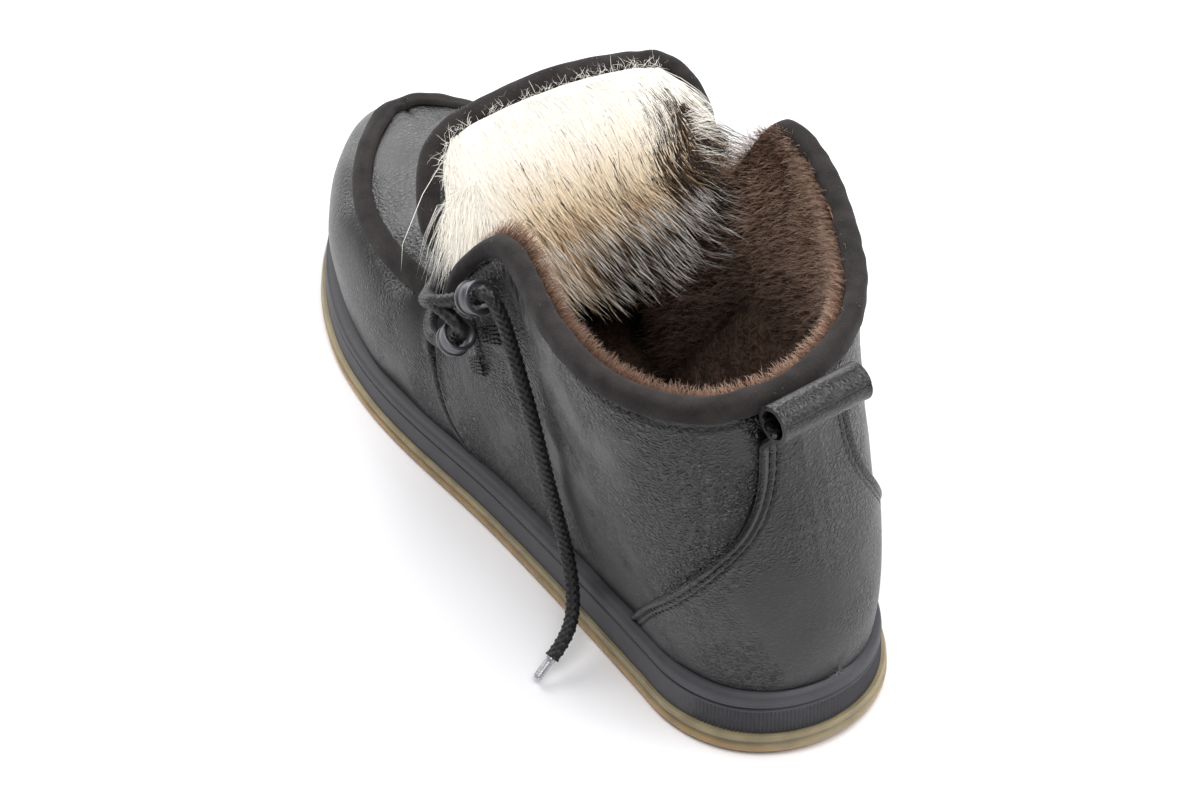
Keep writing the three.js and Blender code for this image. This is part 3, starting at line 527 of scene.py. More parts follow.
def lumps(place, size, seed):
    """Soft unevenness of about one, with lumps of a size in millimetres."""
    rng = np.random.default_rng(seed)
    total = np.zeros(place.shape[:-1])
    for _ in range(7):
        wave = unit(rng.normal(size=3)) * 2 * np.pi / (size * rng.uniform(0.7, 1.6))
        total += np.sin(place @ wave + rng.uniform(0, 2 * np.pi))
    return total / 2.6


def even(low, high, count):
    """Even steps from low to high, with both ends."""
    return np.linspace(low, high, count + 1)


def stations(*spans):
    """Joined stretches of even steps, each given by where it starts, where it ends and its count."""
    return np.concatenate([even(*span)[1 if i else 0 :] for i, span in enumerate(spans)])


def both_sides(shares):
    """Shares of the inner side, with the same ones of the outer side before them."""
    return np.concatenate([-shares[:0:-1], shares])


def full_turn(count):
    """Angles in even steps once round, the last one back at the first."""
    angles = even(0, 2 * np.pi, count)
    angles[-1] = 0
    return angles


def hill(gap, half):
    """A soft hill of height one, by the distance from its middle and its half width."""
    return np.exp(-((gap / half) ** 2))


def distances(path):
    """How far along a path each of its points lies."""
    return np.concatenate([[0], np.cumsum(np.linalg.norm(np.diff(path, axis=0), axis=1))])


def together(groups):
    """Groups of like arrays, joined end to end."""
    return [np.concatenate(parts) for parts in zip(*groups)]


# Mesh work

# Where along a hair its corners lie, and its width there
HAIR_STEPS = (0, 0.38, 0.74, 1.0)
HAIR_TAPER = (0.8, 1.0, 0.62)
# Millimetres before and after a stitch that give its direction
STITCH_STEP = 0.2


def only(*pieces):
    """Selects these pieces alone, the first one active."""
    bpy.ops.object.select_all(action="DESELECT")
    for piece in pieces:
        piece.select_set(True)
    bpy.context.view_layer.objects.active = pieces[0]


def bent_sheet(name, us, vs, place):
    """A grid whose corners are moved to place(u, v)."""
    bpy.ops.object.select_all(action="DESELECT")
    bpy.ops.mesh.primitive_grid_add(x_subdivisions=len(us) - 1, y_subdivisions=len(vs) - 1, size=1)
    piece = bpy.context.object
    piece.name = name
    piece.data.name = name
    flat = np.empty(len(piece.data.vertices) * 3)
    piece.data.vertices.foreach_get("co", flat)
    corner = flat.reshape(-1, 3)[:, :2] + 0.5
    u = us[np.rint(corner[:, 0] * (len(us) - 1)).astype(int)]
    v = vs[np.rint(corner[:, 1] * (len(vs) - 1)).astype(int)]
    piece.data.vertices.foreach_set("co", (place(u, v) * MM).ravel())
    piece.data.update()
    return piece


def weld(piece, fill=True):
    """Closes seams and poles, fills open ends, and turns faces outwards."""
    only(piece)
    bpy.ops.object.mode_set(mode="EDIT")
    bpy.ops.mesh.select_all(action="SELECT")
    bpy.ops.mesh.remove_doubles(threshold=0.01 * MM)
    if fill:
        bpy.ops.mesh.fill_holes(sides=0)
        bpy.ops.mesh.select_all(action="SELECT")
        bpy.ops.mesh.normals_make_consistent(inside=False)
    bpy.ops.object.mode_set(mode="OBJECT")
    return piece


def join(name, *pieces):
    """Makes one mesh of several."""
    only(*pieces)
    bpy.ops.object.join()
    piece = bpy.context.object
    piece.name = name
    piece.data.name = name
    return piece


def thicken(piece, wall):
    """Gives a sheet its wall, inwards from its face."""
    only(piece)
    solid = piece.modifiers.new("Wall", "SOLIDIFY")
    solid.thickness = wall * MM
    solid.offset = -1
    bpy.ops.object.modifier_apply(modifier=solid.name)


def finish(piece, material, nodes=(), crease=50):
    """Shades a piece, gives it its finish, hangs it on the root body and hides the frame's parts that it
    stands for.
    """
    only(piece)
    bpy.ops.object.shade_smooth_by_angle(angle=math.radians(crease))
    piece.data.materials.clear()
    piece.data.materials.append(material)
    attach(piece, "root")
    if nodes:
        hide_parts(*nodes)


def from_arrays(name, corners, faces, uv=None, normals=None):
    """Many small things as one mesh. Corners are in millimetres."""
    mesh = bpy.data.meshes.new(name)
    mesh.from_pydata((corners * MM).tolist(), [], faces.tolist())
    if uv is not None:
        layer = mesh.uv_layers.new(name="UVMap")
        layer.data.foreach_set("uv", uv[faces.ravel()].astype(np.float32).ravel())
    if normals is not None:
        mesh.polygons.foreach_set("use_smooth", np.ones(len(faces), bool))
        mesh.normals_split_custom_set_from_vertices(normals.tolist())
    piece = bpy.data.objects.new(name, mesh)
    bpy.context.collection.objects.link(piece)
    return piece


def tube(name, path, radius, around=24, relief=None):
    """A closed tube along a path, with a relief that may depend on distance and angle."""
    run = unit(np.gradient(path, axis=0))
    side = np.zeros_like(run)
    side[0] = unit(np.cross(run[0], (0.3, 0.2, 0.9)))
    for i in range(1, len(run)):
        side[i] = unit(side[i - 1] - run[i] * np.dot(side[i - 1], run[i]))
    up = np.cross(run, side)
    gone = distances(path)

    def place(i, angle):
        i = i.astype(int)
        swell = radius + (relief(gone[i], angle) if relief else 0)
        return path[i] + (side[i].T * np.cos(angle) * swell + up[i].T * np.sin(angle) * swell).T

    return weld(bent_sheet(name, np.arange(len(path), dtype=float), full_turn(around), place))


def route(corners, step):
    """Points every step along a smooth curve through the corners of a route."""
    corners = np.array(corners, float)
    reach = distances(corners)
    rows = {"at": reach, **dict(zip("xyz", corners.T))}
    at = np.linspace(0, reach[-1], int(reach[-1] / step) + 1)
    return points(*(read(rows, column, at) for column in "xyz"))


def hairs(name, corners, width, tone, outward, soft=1.0, tips=1.0):
    """Tapered ribbons along cubic arcs. UV x is a hair's tone, and y rises from its root up to tips."""
    t = np.array(HAIR_STEPS)
    line = arc([corners[:, i, None, :] for i in range(4)], t)
    run = unit(np.gradient(line, axis=1))
    side = unit(np.cross(run, outward[:, None, :]))
    half = width[:, None, None] / 2 * np.array(HAIR_TAPER)[:, None]
    strip = np.stack([line[:, :3] - side[:, :3] * half, line[:, :3] + side[:, :3] * half], axis=2)
    count = len(corners)
    corner = np.concatenate([strip.reshape(count, 6, 3), line[:, 3:]], axis=1)
    faces = np.array(((0, 1, 3), (0, 3, 2), (2, 3, 5), (2, 5, 4), (4, 5, 6)))
    faces = (faces[None] + 7 * np.arange(count)[:, None, None]).reshape(-1, 3)
    rise = np.atleast_1d(tips)[:, None] * np.array((0, 0, t[1], t[1], t[2], t[2], 1.0))
    uv = np.stack(np.broadcast_arrays(tone[:, None], rise), axis=-1).reshape(-1, 2)
    facing = np.cross(side, run)[:, (0, 0, 1, 1, 2, 2, 3)]
    normal = unit(outward[:, None, :] * soft + facing * (1 - soft)).reshape(-1, 3)
    return from_arrays(name, corner.reshape(-1, 3), faces, uv, normal)


def pips(name, middle, along, up, half_length, radius):
    """Small rounded lengths such as stitches, joined in one mesh."""
    rings = 5
    sides = 6
    theta = np.linspace(0, np.pi, rings + 1)
    phi = np.arange(sides) * 2 * np.pi / sides
    x = np.cos(theta)[:, None].repeat(sides, 1)
    y = np.sqrt(np.sin(theta))[:, None] * np.cos(phi)
    z = np.sqrt(np.sin(theta))[:, None] * np.sin(phi)
    form = np.stack([x, y, z], -1).reshape(-1, 3)
    k = np.arange(rings * sides)
    right = k // sides * sides + (k + 1) % sides
    lower = np.stack([k, right, right + sides], 1)
    upper = np.stack([k, right + sides, k + sides], 1)
    faces = np.concatenate([lower, upper])
    count = len(middle)
    along = unit(along)
    side = unit(np.cross(up, along))
    up = np.cross(along, side)
    half_length = np.broadcast_to(half_length, count)[:, None, None]
    radius = np.broadcast_to(radius, count)[:, None, None]
    corner = (
        middle[:, None]
        + along[:, None] * form[None, :, :1] * half_length
        + side[:, None] * form[None, :, 1:2] * radius
        + up[:, None] * form[None, :, 2:] * radius
    )
    faces = (faces[None] + len(form) * np.arange(count)[:, None, None]).reshape(-1, 3)
    return weld(from_arrays(name, corner.reshape(-1, 3), faces), fill=False)


def stitch_line(path, normals, pitch):
    """Middles, directions and normals of stitches that follow a path at a pitch."""
    gone = distances(path)
    at = np.arange(pitch / 2, gone[-1], pitch)

    def between(rows, at):
        return np.stack([np.interp(at, gone, column) for column in rows.T], -1)

    run = between(path, at + STITCH_STEP) - between(path, at - STITCH_STEP)
    return between(path, at), run, unit(between(normals, at))


# Materials

# Height in millimetres of the upper's pebbles, and mottles a metre on the floor
GRAIN_RELIEF = 0.85
FLOOR_MOTTLES = 6.0


def linear(code):
    """An sRGB hex colour as linear red, green and blue."""
    parts = [int(code[i : i + 2], 16) / 255 for i in (1, 3, 5)]
    return tuple(c / 12.92 if c <= 0.04045 else ((c + 0.055) / 1.055) ** 2.4 for c in parts)


def rgba(colour):
    """A colour as the four values that a socket takes."""
    return (*colour, 1.0)


def shade(colour, factor):
    """A colour made lighter or darker."""
    return (*(min(1.0, c * factor) for c in colour), 1.0)


def add(tree, kind, inputs, stops=(), **settings):
    """Adds a shader node with its settings, colour stops and inputs, and gives its outputs."""
    node = tree.nodes.new("ShaderNode" + kind)
    for name, value in settings.items():
        setattr(node, name, value)
    for _ in stops[2:]:
        node.color_ramp.elements.new(0.5)
    for i, (position, colour) in enumerate(stops):
        element = node.color_ramp.elements[i]
        element.position = position
        element.color = colour
    set_inputs(tree, node, inputs)
    return node.outputs


def set_inputs(tree, node, inputs):
    """Sets a node's inputs, each to a value or by a link."""
    for name, value in inputs.items():
        if isinstance(value, bpy.types.NodeSocket):
            tree.links.new(value, node.inputs[name])
        else:
            node.inputs[name].default_value = value


def new_material(name):
    """An empty material, its nodes, and the coordinates of the piece that wears it."""
    material = bpy.data.materials.new(name)
    material.use_nodes = True
    tree = material.node_tree
    return material, tree, add(tree, "TexCoord", {})


def set_shader(tree, **inputs):
    """Sets the shader's sockets by name, as values or links."""
    named = {name.replace("_", " "): value for name, value in inputs.items()}
    set_inputs(tree, tree.nodes["Principled BSDF"], named)


def pebbled_leather(colours, sizes, name="Pebbled leather", relief=1.0):
    """Milled cowhide: soft pebbles drawn out level round the boot, with a low gloss on their tops."""
    material, tree, place = new_material(name)
    spot = place["Object"]
    warp = add(tree, "TexNoise", {"Vector": spot, "Scale": 1 / (3.5 * MM), "Detail": 2.0})
    bend = {0: warp["Color"], 1: (3 * MM, 3 * MM, 3 * MM), 2: spot}
    bent = add(tree, "VectorMath", bend, operation="MULTIPLY_ADD")
    draw_out = {"Vector": bent["Vector"], "Rotation": (0.35, 0.1, 0.2), "Scale": (0.72, 0.65, 1.35)}
    drawn = add(tree, "Mapping", draw_out)["Vector"]
    cells = {"Vector": drawn, "Scale": 1 / sizes.grain}
    pebble = add(tree, "TexVoronoi", cells, feature="DISTANCE_TO_EDGE")
    rounding = {"Value": pebble["Distance"], "From Min": 0.0, "From Max": 0.34}
    dome = add(tree, "MapRange", rounding, interpolation_type="SMOOTHSTEP")["Result"]
    folds = {"Vector": drawn, "Scale": 1 / (1.4 * sizes.grain), "Detail": 4.0, "Distortion": 0.6}
    wrinkle = add(tree, "TexNoise", folds)
    height = add(tree, "Math", {0: wrinkle["Fac"], 1: 1.1, 2: dome}, operation="MULTIPLY_ADD")["Value"]

    # Grain is strong at the heel and faint at the toe, in patches
    patch = add(tree, "TexNoise", {"Vector": spot, "Scale": 1 / (26 * MM), "Detail": 3.0})["Fac"]
    along = add(tree, "SeparateXYZ", {"Vector": spot})["Y"]
    heel_to_toe = {"Value": along, "From Min": -10 * MM, "From Max": 60 * MM, "To Min": 1.0, "To Max": 0.3}
    strong = add(tree, "MapRange", heel_to_toe)
    patches = {"Value": patch, "From Min": 0.4, "From Max": 0.6, "To Min": 0.15, "To Max": 1.0}
    uneven = add(tree, "MapRange", patches)
    depth = add(tree, "Math", {0: strong["Result"], 1: uneven["Result"]}, operation="MULTIPLY")
    grain = {"Height": height, "Strength": depth["Value"], "Distance": GRAIN_RELIEF * relief * MM}
    normal = add(tree, "Bump", grain)["Normal"]

    # Painted shade: the cracks between the pebbles are painted darker and their tops lighter
    tones = {0: dome, 6: shade(colours.leather, 0.6), 7: shade(colours.leather, 1.1)}
    tint = add(tree, "Mix", tones, data_type="RGBA")
    dust = add(tree, "MapRange", {"Value": patch, "From Min": 0.5, "From Max": 0.8, "To Max": 0.08})
    dusty = add(tree, "Mix", {0: dust["Result"], 6: tint[2], 7: rgba(colours.dust)}, data_type="RGBA")
    tops = {"Value": height, "From Min": 0.4, "From Max": 1.7, "To Min": 0.52, "To Max": 0.38}
    gloss = add(tree, "MapRange", tops)
    set_shader(
        tree,
        Base_Color=dusty[2],
        Roughness=gloss["Result"],
        Normal=normal,
        Coat_Weight=0.32,
        Coat_Roughness=0.3,
        Coat_Normal=normal,
    )
    return material


def napped_suede(colours, sizes):
    """Suede binding: a short brushed nap, so no gloss, soft light edges and faint rubbed patches."""
    material, tree, place = new_material("Napped suede")
    spot = place["Object"]
    hairs_up = {"Vector": spot, "Scale": 1 / (0.7 * MM), "Detail": 4.0, "Roughness": 0.7}
    nap = add(tree, "TexNoise", hairs_up)["Fac"]
    rubbed = add(tree, "TexNoise", {"Vector": spot, "Scale": 1 / (7 * MM), "Detail": 3.0})
    mix = add(tree, "Math", {0: nap, 1: 0.6, 2: rubbed["Fac"]}, operation="MULTIPLY_ADD")
    stops = ((0.5, shade(colours.suede, 0.6)), (1.0, shade(colours.suede, 1.6)))
    tint = add(tree, "ValToRGB", {"Fac": mix["Value"]}, stops)
    bump = add(tree, "Bump", {"Height": nap, "Strength": 0.6, "Distance": 0.4 * MM})
    set_shader(
        tree,
        Base_Color=tint["Color"],
        Roughness=0.95,
        Normal=bump["Normal"],
        Specular_IOR_Level=0.2,
        Sheen_Weight=0.4,
        Sheen_Roughness=0.45,
        Sheen_Tint=shade(colours.dust, 0.9),
    )
    return material


def moulded_rubber(colours, sizes):
    """Foamed rubber out of a mould: an even fine texture, dull, with faint clouds of pale dust."""
    material, tree, place = new_material("Moulded midsole rubber")
    spot = place["Object"]
    texture = add(tree, "TexNoise", {"Vector": spot, "Scale": 1 / (0.8 * MM), "Detail": 2.0})
    cloud = add(tree, "TexNoise", {"Vector": spot, "Scale": 1 / (12 * MM), "Detail": 4.0})
    dusty = add(tree, "MapRange", {"Value": cloud["Fac"], "From Min": 0.48, "From Max": 0.78, "To Max": 0.12})
    tones = {0: dusty["Result"], 6: rgba(colours.midsole), 7: rgba(colours.dust)}
    tint = add(tree, "Mix", tones, data_type="RGBA")
    bump = add(tree, "Bump", {"Height": texture["Fac"], "Strength": 0.25, "Distance": 0.2 * MM})
    set_shader(tree, Base_Color=tint[2], Roughness=0.58, Normal=bump["Normal"])
    return material


def gum_rubber(colours, sizes):
    """Translucent gum rubber: light goes a little way in, so its lower bead glows amber."""
    material, tree, place = new_material("Gum rubber")
    spot = place["Object"]
    cloud = add(tree, "TexNoise", {"Vector": spot, "Scale": 1 / (9 * MM), "Detail": 4.0})["Fac"]
    height = add(tree, "SeparateXYZ", {"Vector": spot})["Z"]
    between = {"Value": height, "From Min": 2.2 * MM, "From Max": 4.8 * MM}
    rise = add(tree, "MapRange", between, interpolation_type="SMOOTHSTEP")
    tones = {0: rise["Result"], 6: rgba(colours.gum), 7: rgba(colours.gum_top)}
    bead = add(tree, "Mix", tones, data_type="RGBA")
    clouds = {"Value": cloud, "From Min": 0.35, "From Max": 0.65, "To Min": 0.8, "To Max": 1.1}
    clear = add(tree, "MapRange", clouds)
    tint = add(tree, "VectorMath", {0: bead[2], 3: clear["Result"]}, operation="SCALE")
    bump = add(tree, "Bump", {"Height": cloud, "Strength": 0.1, "Distance": 0.3 * MM})
    set_shader(
        tree,
        Base_Color=tint["Vector"],
        Roughness=0.36,
        Normal=bump["Normal"],
        Subsurface_Weight=0.3,
        Subsurface_Radius=(1.0, 0.6, 0.25),
        Subsurface_Scale=4 * MM,
    )
    return material


def long_fur(colours, sizes, name="Long fur", pile=0.0):
    """Long fur: fine hairs from white to near black, the long ones tipped white, with a soft silky gloss.

    The undercoat is a dull pile of the same hairs, drawn as strands that run down the tongue.
    """
    material, tree, place = new_material(name)
    parts = add(tree, "SeparateXYZ", {"Vector": place["UV"]})
    stops = (
        (0.0, rgba(colours.fur_light)),
        (0.3, rgba(colours.fur_cream)),
        (0.58, rgba(colours.fur_tan)),
        (0.8, rgba(colours.fur_dark)),
        (1.0, shade(colours.fur_dark, 0.4)),
    )
    hair = add(tree, "ValToRGB", {"Fac": parts["X"]}, stops)
    # Painted shade: each hair is painted a little darker near its root, down in the fur
    root_shade_span = {"Value": parts["Y"], "From Min": 0.0, "From Max": 0.4, "To Min": 0.85, "To Max": 1.0}
    root = add(tree, "MapRange", root_shade_span)
    root_shaded = add(tree, "VectorMath", {0: hair["Color"], 3: root["Result"]}, operation="SCALE")
    tip = add(tree, "MapRange", {"Value": parts["Y"], "From Min": 0.66, "From Max": 0.86, "To Max": 0.85})
    tones = {0: tip["Result"], 6: root_shaded["Vector"], 7: rgba(colours.fur_light)}
    tipped = add(tree, "Mix", tones, data_type="RGBA")
    set_shader(
        tree,
        Base_Color=tipped[2],
        Roughness=0.95 if pile else 0.65,
        Specular_IOR_Level=0.05 if pile else 0.2,
        Sheen_Weight=0.15,
    )
    if pile:
        drawn = add(tree, "Mapping", {"Vector": place["Object"], "Scale": (1.0, 0.2, 0.5)})
        strand = {"Vector": drawn["Vector"], "Scale": 1 / (1.1 * MM), "Detail": 3.0}
        strands = add(tree, "TexNoise", strand)
        bump = add(tree, "Bump", {"Height": strands["Fac"], "Strength": pile, "Distance": 2 * MM})
        set_shader(tree, Normal=bump["Normal"])
    return material


def shearling(colours, sizes):
    """Shearling: short crimped wool, dark at the skin, paler at its tips, and darkened deep in the boot by
    painted shade.
    """
    material, tree, place = new_material("Shearling wool")
    parts = add(tree, "SeparateXYZ", {"Vector": place["UV"]})
    stops = (
        (0.0, shade(colours.wool_dark, 0.8)),
        (0.3, rgba(colours.wool_dark)),
        (0.65, rgba(colours.wool)),
        (1.0, rgba(colours.wool_tip)),
    )
    tint = add(tree, "ValToRGB", {"Fac": parts["Y"]}, stops)
    # Painted shade: UV x, the hair's tone, darkens the wool deep in the boot as well as varying it at random
    depth_shade = add(tree, "VectorMath", {0: tint["Color"], 3: parts["X"]}, operation="SCALE")
    set_shader(
        tree,
        Base_Color=depth_shade["Vector"],
        Roughness=0.85,
        Specular_IOR_Level=0.15,
        Sheen_Weight=0.12,
        Sheen_Roughness=0.5,
        Sheen_Tint=rgba(colours.wool_tip),
    )
    return material


def wool_pile(colours, sizes):
    """The skin side of the shearling under its hairs: a dark curly pile, darkened down in the boot by painted
    shade.
    """
    material, tree, place = new_material("Wool pile")
    spot = place["Object"]
    curls = {"Vector": spot, "Scale": 1 / (2.2 * MM), "Detail": 5.0, "Distortion": 1.2}
    curl = add(tree, "TexNoise", curls)["Fac"]
    stops = ((0.3, shade(colours.wool_dark, 0.4)), (0.75, shade(colours.wool, 0.8)))
    tint = add(tree, "ValToRGB", {"Fac": curl}, stops)
    height = add(tree, "SeparateXYZ", {"Vector": spot})["Z"]
    # Painted shade: the pile, footbed too, is painted darker the lower it lies in the boot
    deep_to_rim = {"Value": height, "From Min": 60 * MM, "From Max": 118 * MM, "To Min": 0.25, "To Max": 1.0}
    depth_shade = add(tree, "MapRange", deep_to_rim)
    shaded_down_in_boot = add(tree, "VectorMath", {0: tint["Color"], 3: depth_shade["Result"]}, operation="SCALE")
    bump = add(tree, "Bump", {"Height": curl, "Strength": 0.9, "Distance": 1.2 * MM})
    set_shader(
        tree,
        Base_Color=shaded_down_in_boot["Vector"],
        Roughness=0.95,
        Normal=bump["Normal"],
        Specular_IOR_Level=0.15,
    )
    return material


def braided_cord(colours, sizes):
    """Braided polyester: dull black yarn whose fibres catch a little light on each crossing."""
    material, tree, place = new_material("Braided cord")
    yarn = {"Vector": place["Object"], "Scale": 1 / (0.5 * MM), "Detail": 3.0}
    fibre = add(tree, "TexNoise", yarn)["Fac"]
    stops = ((0.35, shade(colours.cord, 0.6)), (0.75, shade(colours.cord, 1.6)))
    tint = add(tree, "ValToRGB", {"Fac": fibre}, stops)
    bump = add(tree, "Bump", {"Height": fibre, "Strength": 0.3, "Distance": 0.15 * MM})
    set_shader(tree, Base_Color=tint["Color"], Roughness=0.5, Normal=bump["Normal"], Sheen_Weight=0.05)
    return material


def gunmetal_plate(colours, sizes):
    """Gunmetal plate: a grey satin metal with fine rub marks on its rims."""
    material, tree, place = new_material("Gunmetal plate")
    rub = add(tree, "TexNoise", {"Vector": place["Object"], "Scale": 1 / (1.5 * MM), "Detail": 4.0})
    marks = {"Value": rub["Fac"], "From Min": 0.3, "From Max": 0.75, "To Min": 0.3, "To Max": 0.46}
    gloss = add(tree, "MapRange", marks)
    set_shader(tree, Base_Color=rgba(colours.ring), Metallic=0.75, Roughness=gloss["Result"])
    return material


def silver_sleeve(colours, sizes):
    """Crimped sleeve of the lace's tip: silver film with light scratches along it."""
    material, tree, place = new_material("Silver sleeve")
    scratch = add(tree, "TexNoise", {"Vector": place["Object"], "Scale": 1 / (0.6 * MM), "Detail": 3.0})
    marks = {"Value": scratch["Fac"], "From Min": 0.3, "From Max": 0.7, "To Min": 0.2, "To Max": 0.45}
    gloss = add(tree, "MapRange", marks)
    set_shader(tree, Base_Color=rgba(colours.tip), Metallic=0.8, Roughness=gloss["Result"])
    return material


def sewing_thread(colours, sizes, name="Sewing thread", pale=1.0):
    """Bonded sewing thread: slightly shiny, with the twist of its plies."""
    material, tree, place = new_material(name)
    plies = {"Vector": place["Object"], "Scale": 1 / (1.2 * MM), "Distortion": 2.0}
    twist = add(tree, "TexWave", plies, bands_direction="DIAGONAL")
    tones = {0: twist["Fac"], 6: shade(colours.thread, 0.6 * pale), 7: shade(colours.thread, 1.3 * pale)}
    tint = add(tree, "Mix", tones, data_type="RGBA")
    set_shader(tree, Base_Color=tint[2], Roughness=0.5)
    return material


def lint_fibre(colours, sizes):
    """Loose cotton and wool fibres caught on the nap: pale, dull and uneven in tone."""
    material, tree, place = new_material("Lint")
    parts = add(tree, "SeparateXYZ", {"Vector": place["UV"]})
    tones = {0: parts["X"], 6: rgba(colours.dust), 7: rgba(colours.lint)}
    tint = add(tree, "Mix", tones, data_type="RGBA")
    set_shader(tree, Base_Color=tint[2], Roughness=0.9, Specular_IOR_Level=0.2)
    return material


def pale_floor(colours, sizes):
    """Smooth white studio floor with a faint mottle."""
    material, tree, place = new_material("Pale floor")
    mottle = add(tree, "TexNoise", {"Vector": place["Object"], "Scale": FLOOR_MOTTLES})
    stops = ((0.3, shade(colours.floor, 0.985)), (0.7, rgba(colours.floor)))
    tint = add(tree, "ValToRGB", {"Fac": mottle["Fac"]}, stops)
    set_shader(tree, Base_Color=tint["Color"], Roughness=0.7, Specular_IOR_Level=0.2)
    return material


MADE = {}


def material_of(maker, **changes):
    """A finish, made once and then shared."""
    scene = bpy.context.scene
    key = maker.__name__ + "".join(sorted(str(value) for value in changes.values()))
    if key not in MADE:
        MADE[key] = maker(scene.boot_colours, scene.boot_sizes, **changes)
    return MADE[key]


# Settings that a user would change


def colour(name, description, code):
    """A colour that a user can change, given as its hex code."""
    return FloatVectorProperty(
        name=name, description=description, default=linear(code), size=3, min=0, max=1, subtype="COLOR"
    )


def length(name, description, default):
    """A length that a user can change, given in millimetres."""
    return FloatProperty(name=name, description=description, default=default * MM, min=0, unit="LENGTH")


class BootColours(bpy.types.PropertyGroup):
    """Colours of the boot's finishes."""

    leather: colour("Leather", "Pebbled leather of upper, counter and tongue", "#131215")
    suede: colour("Suede", "Bindings and the tongue's hem", "#2a2726")
    dust: colour("Dust", "Pale dust and rubbed nap", "#77757a")
    midsole: colour("Midsole", "Moulded midsole rubber", "#403f44")
    gum: colour("Gum", "Lower bead of the translucent outsole", "#a98a5e")
    gum_top: colour("Gum, upper", "Upper bead of the translucent outsole", "#94896d")
    fur_light: colour("Fur, light", "White hairs and tips", "#fffdf7")
    fur_cream: colour("Fur, cream", "Cream hairs", "#f0dcbc")
    fur_tan: colour("Fur, tan", "Tan hairs", "#b58a5e")
    fur_dark: colour("Fur, dark", "Dark hairs", "#2b1e17")
    wool: colour("Wool", "Shearling hairs", "#cfaa93")
    wool_dark: colour("Wool, dark", "Shearling near the skin", "#936f5c")
    wool_tip: colour("Wool, tips", "Tips of the shearling", "#ead2c2")
    cord: colour("Lace", "Braided lace", "#141415")
    ring: colour("Lace loops", "Gunmetal of the lace loops", "#5f5f63")
    tip: colour("Tip", "Sleeve on the lace's end", "#c3c5c9")
    thread: colour("Thread", "Sewing thread", "#141416")
    lint: colour("Lint", "Loose pale fibres", "#8f8c88")
    floor: colour("Floor", "Studio floor", "#f6f5f7")


class BootSizes(bpy.types.PropertyGroup):
    """Sizes of the boot's finishes."""

    grain: length("Grain", "Width of one pebble of the leather", 1.4)
    braid: length("Braid", "Pitch of the lace's braid", 2.5)
    rib_depth: length("Heel ribs", "Depth of the midsole's upright ribs", 0.5)
    stitch: length("Stitch", "Pitch of the counter's stitches", 3.0)
    fur: length("Fur", "Length of the tongue's hairs", 26)
    wool: length("Wool", "Length of the lining's hairs", 6.5)
    fur_hairs: IntProperty(name="Fur hairs", description="Hairs on the tongue", default=40000, min=1)
    wool_hairs: IntProperty(name="Wool hairs", description="Hairs of the lining", default=46000, min=1)


# Stage

CAMERA_EYE = (-0.3172, -0.5581, 0.6056)
CAMERA_AIM = (0.006, -0.004, 0.021)
CAMERA_ROLL = -0.32
CAMERA_LENS = 79.0
FLOOR_SIZE = 12
SKY_STRENGTH = 0.24
LIGHT_AIM = (0, 0, 0.05)
# Place, size in metres and watts of each area light
LIGHTS = {
    "Key": ((-0.35, 1.05, 1.15), 0.8, 10),
    "Back": ((0.35, 1.35, 0.55), 1.5, 16),
    "Top": ((0.1, -0.4, 1.45), 1.3, 24),
    "Edge": ((1.0, -0.75, 0.6), 0.7, 5),
}


class BOOT_OT_stage(bpy.types.Operator):
    """Lays the floor and sets the lights and the camera"""

    bl_idname = "boot.stage"
    bl_label = "Stage"

    def execute(self, context):
        scene = context.scene
        bpy.ops.object.select_all(action="DESELECT")
        bpy.ops.mesh.primitive_plane_add(size=FLOOR_SIZE)
        floor = context.object
        floor.name = "floor"
        floor.data.materials.append(material_of(pale_floor))
        for name, (place, size, watts) in LIGHTS.items():
            light = bpy.data.lights.new(name, "AREA")
            light.size = size
            light.energy = watts
            lamp = bpy.data.objects.new(name, light)
            lamp.location = place
            lamp.rotation_euler = (Vector(LIGHT_AIM) - Vector(place)).to_track_quat("-Z", "Y").to_euler()
            context.collection.objects.link(lamp)
        scene.world = bpy.data.worlds.new("Studio")
        scene.world.use_nodes = True
        sky = scene.world.node_tree.nodes["Background"]
        sky.inputs["Color"].default_value = (1, 1, 1, 1)
        sky.inputs["Strength"].default_value = SKY_STRENGTH
        lens = bpy.data.cameras.new("Camera")
        lens.lens = CAMERA_LENS
        camera = bpy.data.objects.new("Camera", lens)
        camera.location = CAMERA_EYE
        look = (Vector(CAMERA_AIM) - Vector(CAMERA_EYE)).to_track_quat("-Z", "Y")
        roll = Quaternion((0, 0, 1), math.radians(CAMERA_ROLL))
        camera.rotation_euler = (look @ roll).to_euler()
        context.collection.objects.link(camera)
        scene.camera = camera
        scene.view_settings.view_transform = "Standard"
        return {"FINISHED"}


# Lace

BRAID_ROUND = 6
BRAID_HEIGHT = 0.8
BRAID_SUNK = 0.75
LACE_END_STEP = 0.4
THROAT_STEP = 0.65
CRIMP = {"overlap": 0.8, "flat": 0.1, "mouth": 0.35, "bead": 0.12, "bead_at": 1.2, "bead_half": 0.5}


def braid(pitch):
    """Relief of a round braid: pillows where the yarns cross."""

    def relief(gone, angle):
        turn = BRAID_ROUND * angle / (2 * np.pi)
        one = np.sin(np.pi * (turn + gone / pitch))
        other = np.sin(np.pi * (turn - gone / pitch))
        return BRAID_HEIGHT * (np.sqrt(np.abs(one * other)) - BRAID_SUNK)

    return relief


def mouth(side, name, end, clear=1.2):
    """The mouth of a lace loop, above it at end 1 and below it at end -1."""
    middle, axis, _ = loop_frame(SIDES[side], LACE_LOOPS[name])
    return tuple(middle + axis * end * (LACE_LOOP["length"] / 2 + clear))


def across(corners):
    """The same route on the other side of the boot."""
    return [(2 * LACE_MIRROR - x, y, z) for x, y, z in corners]


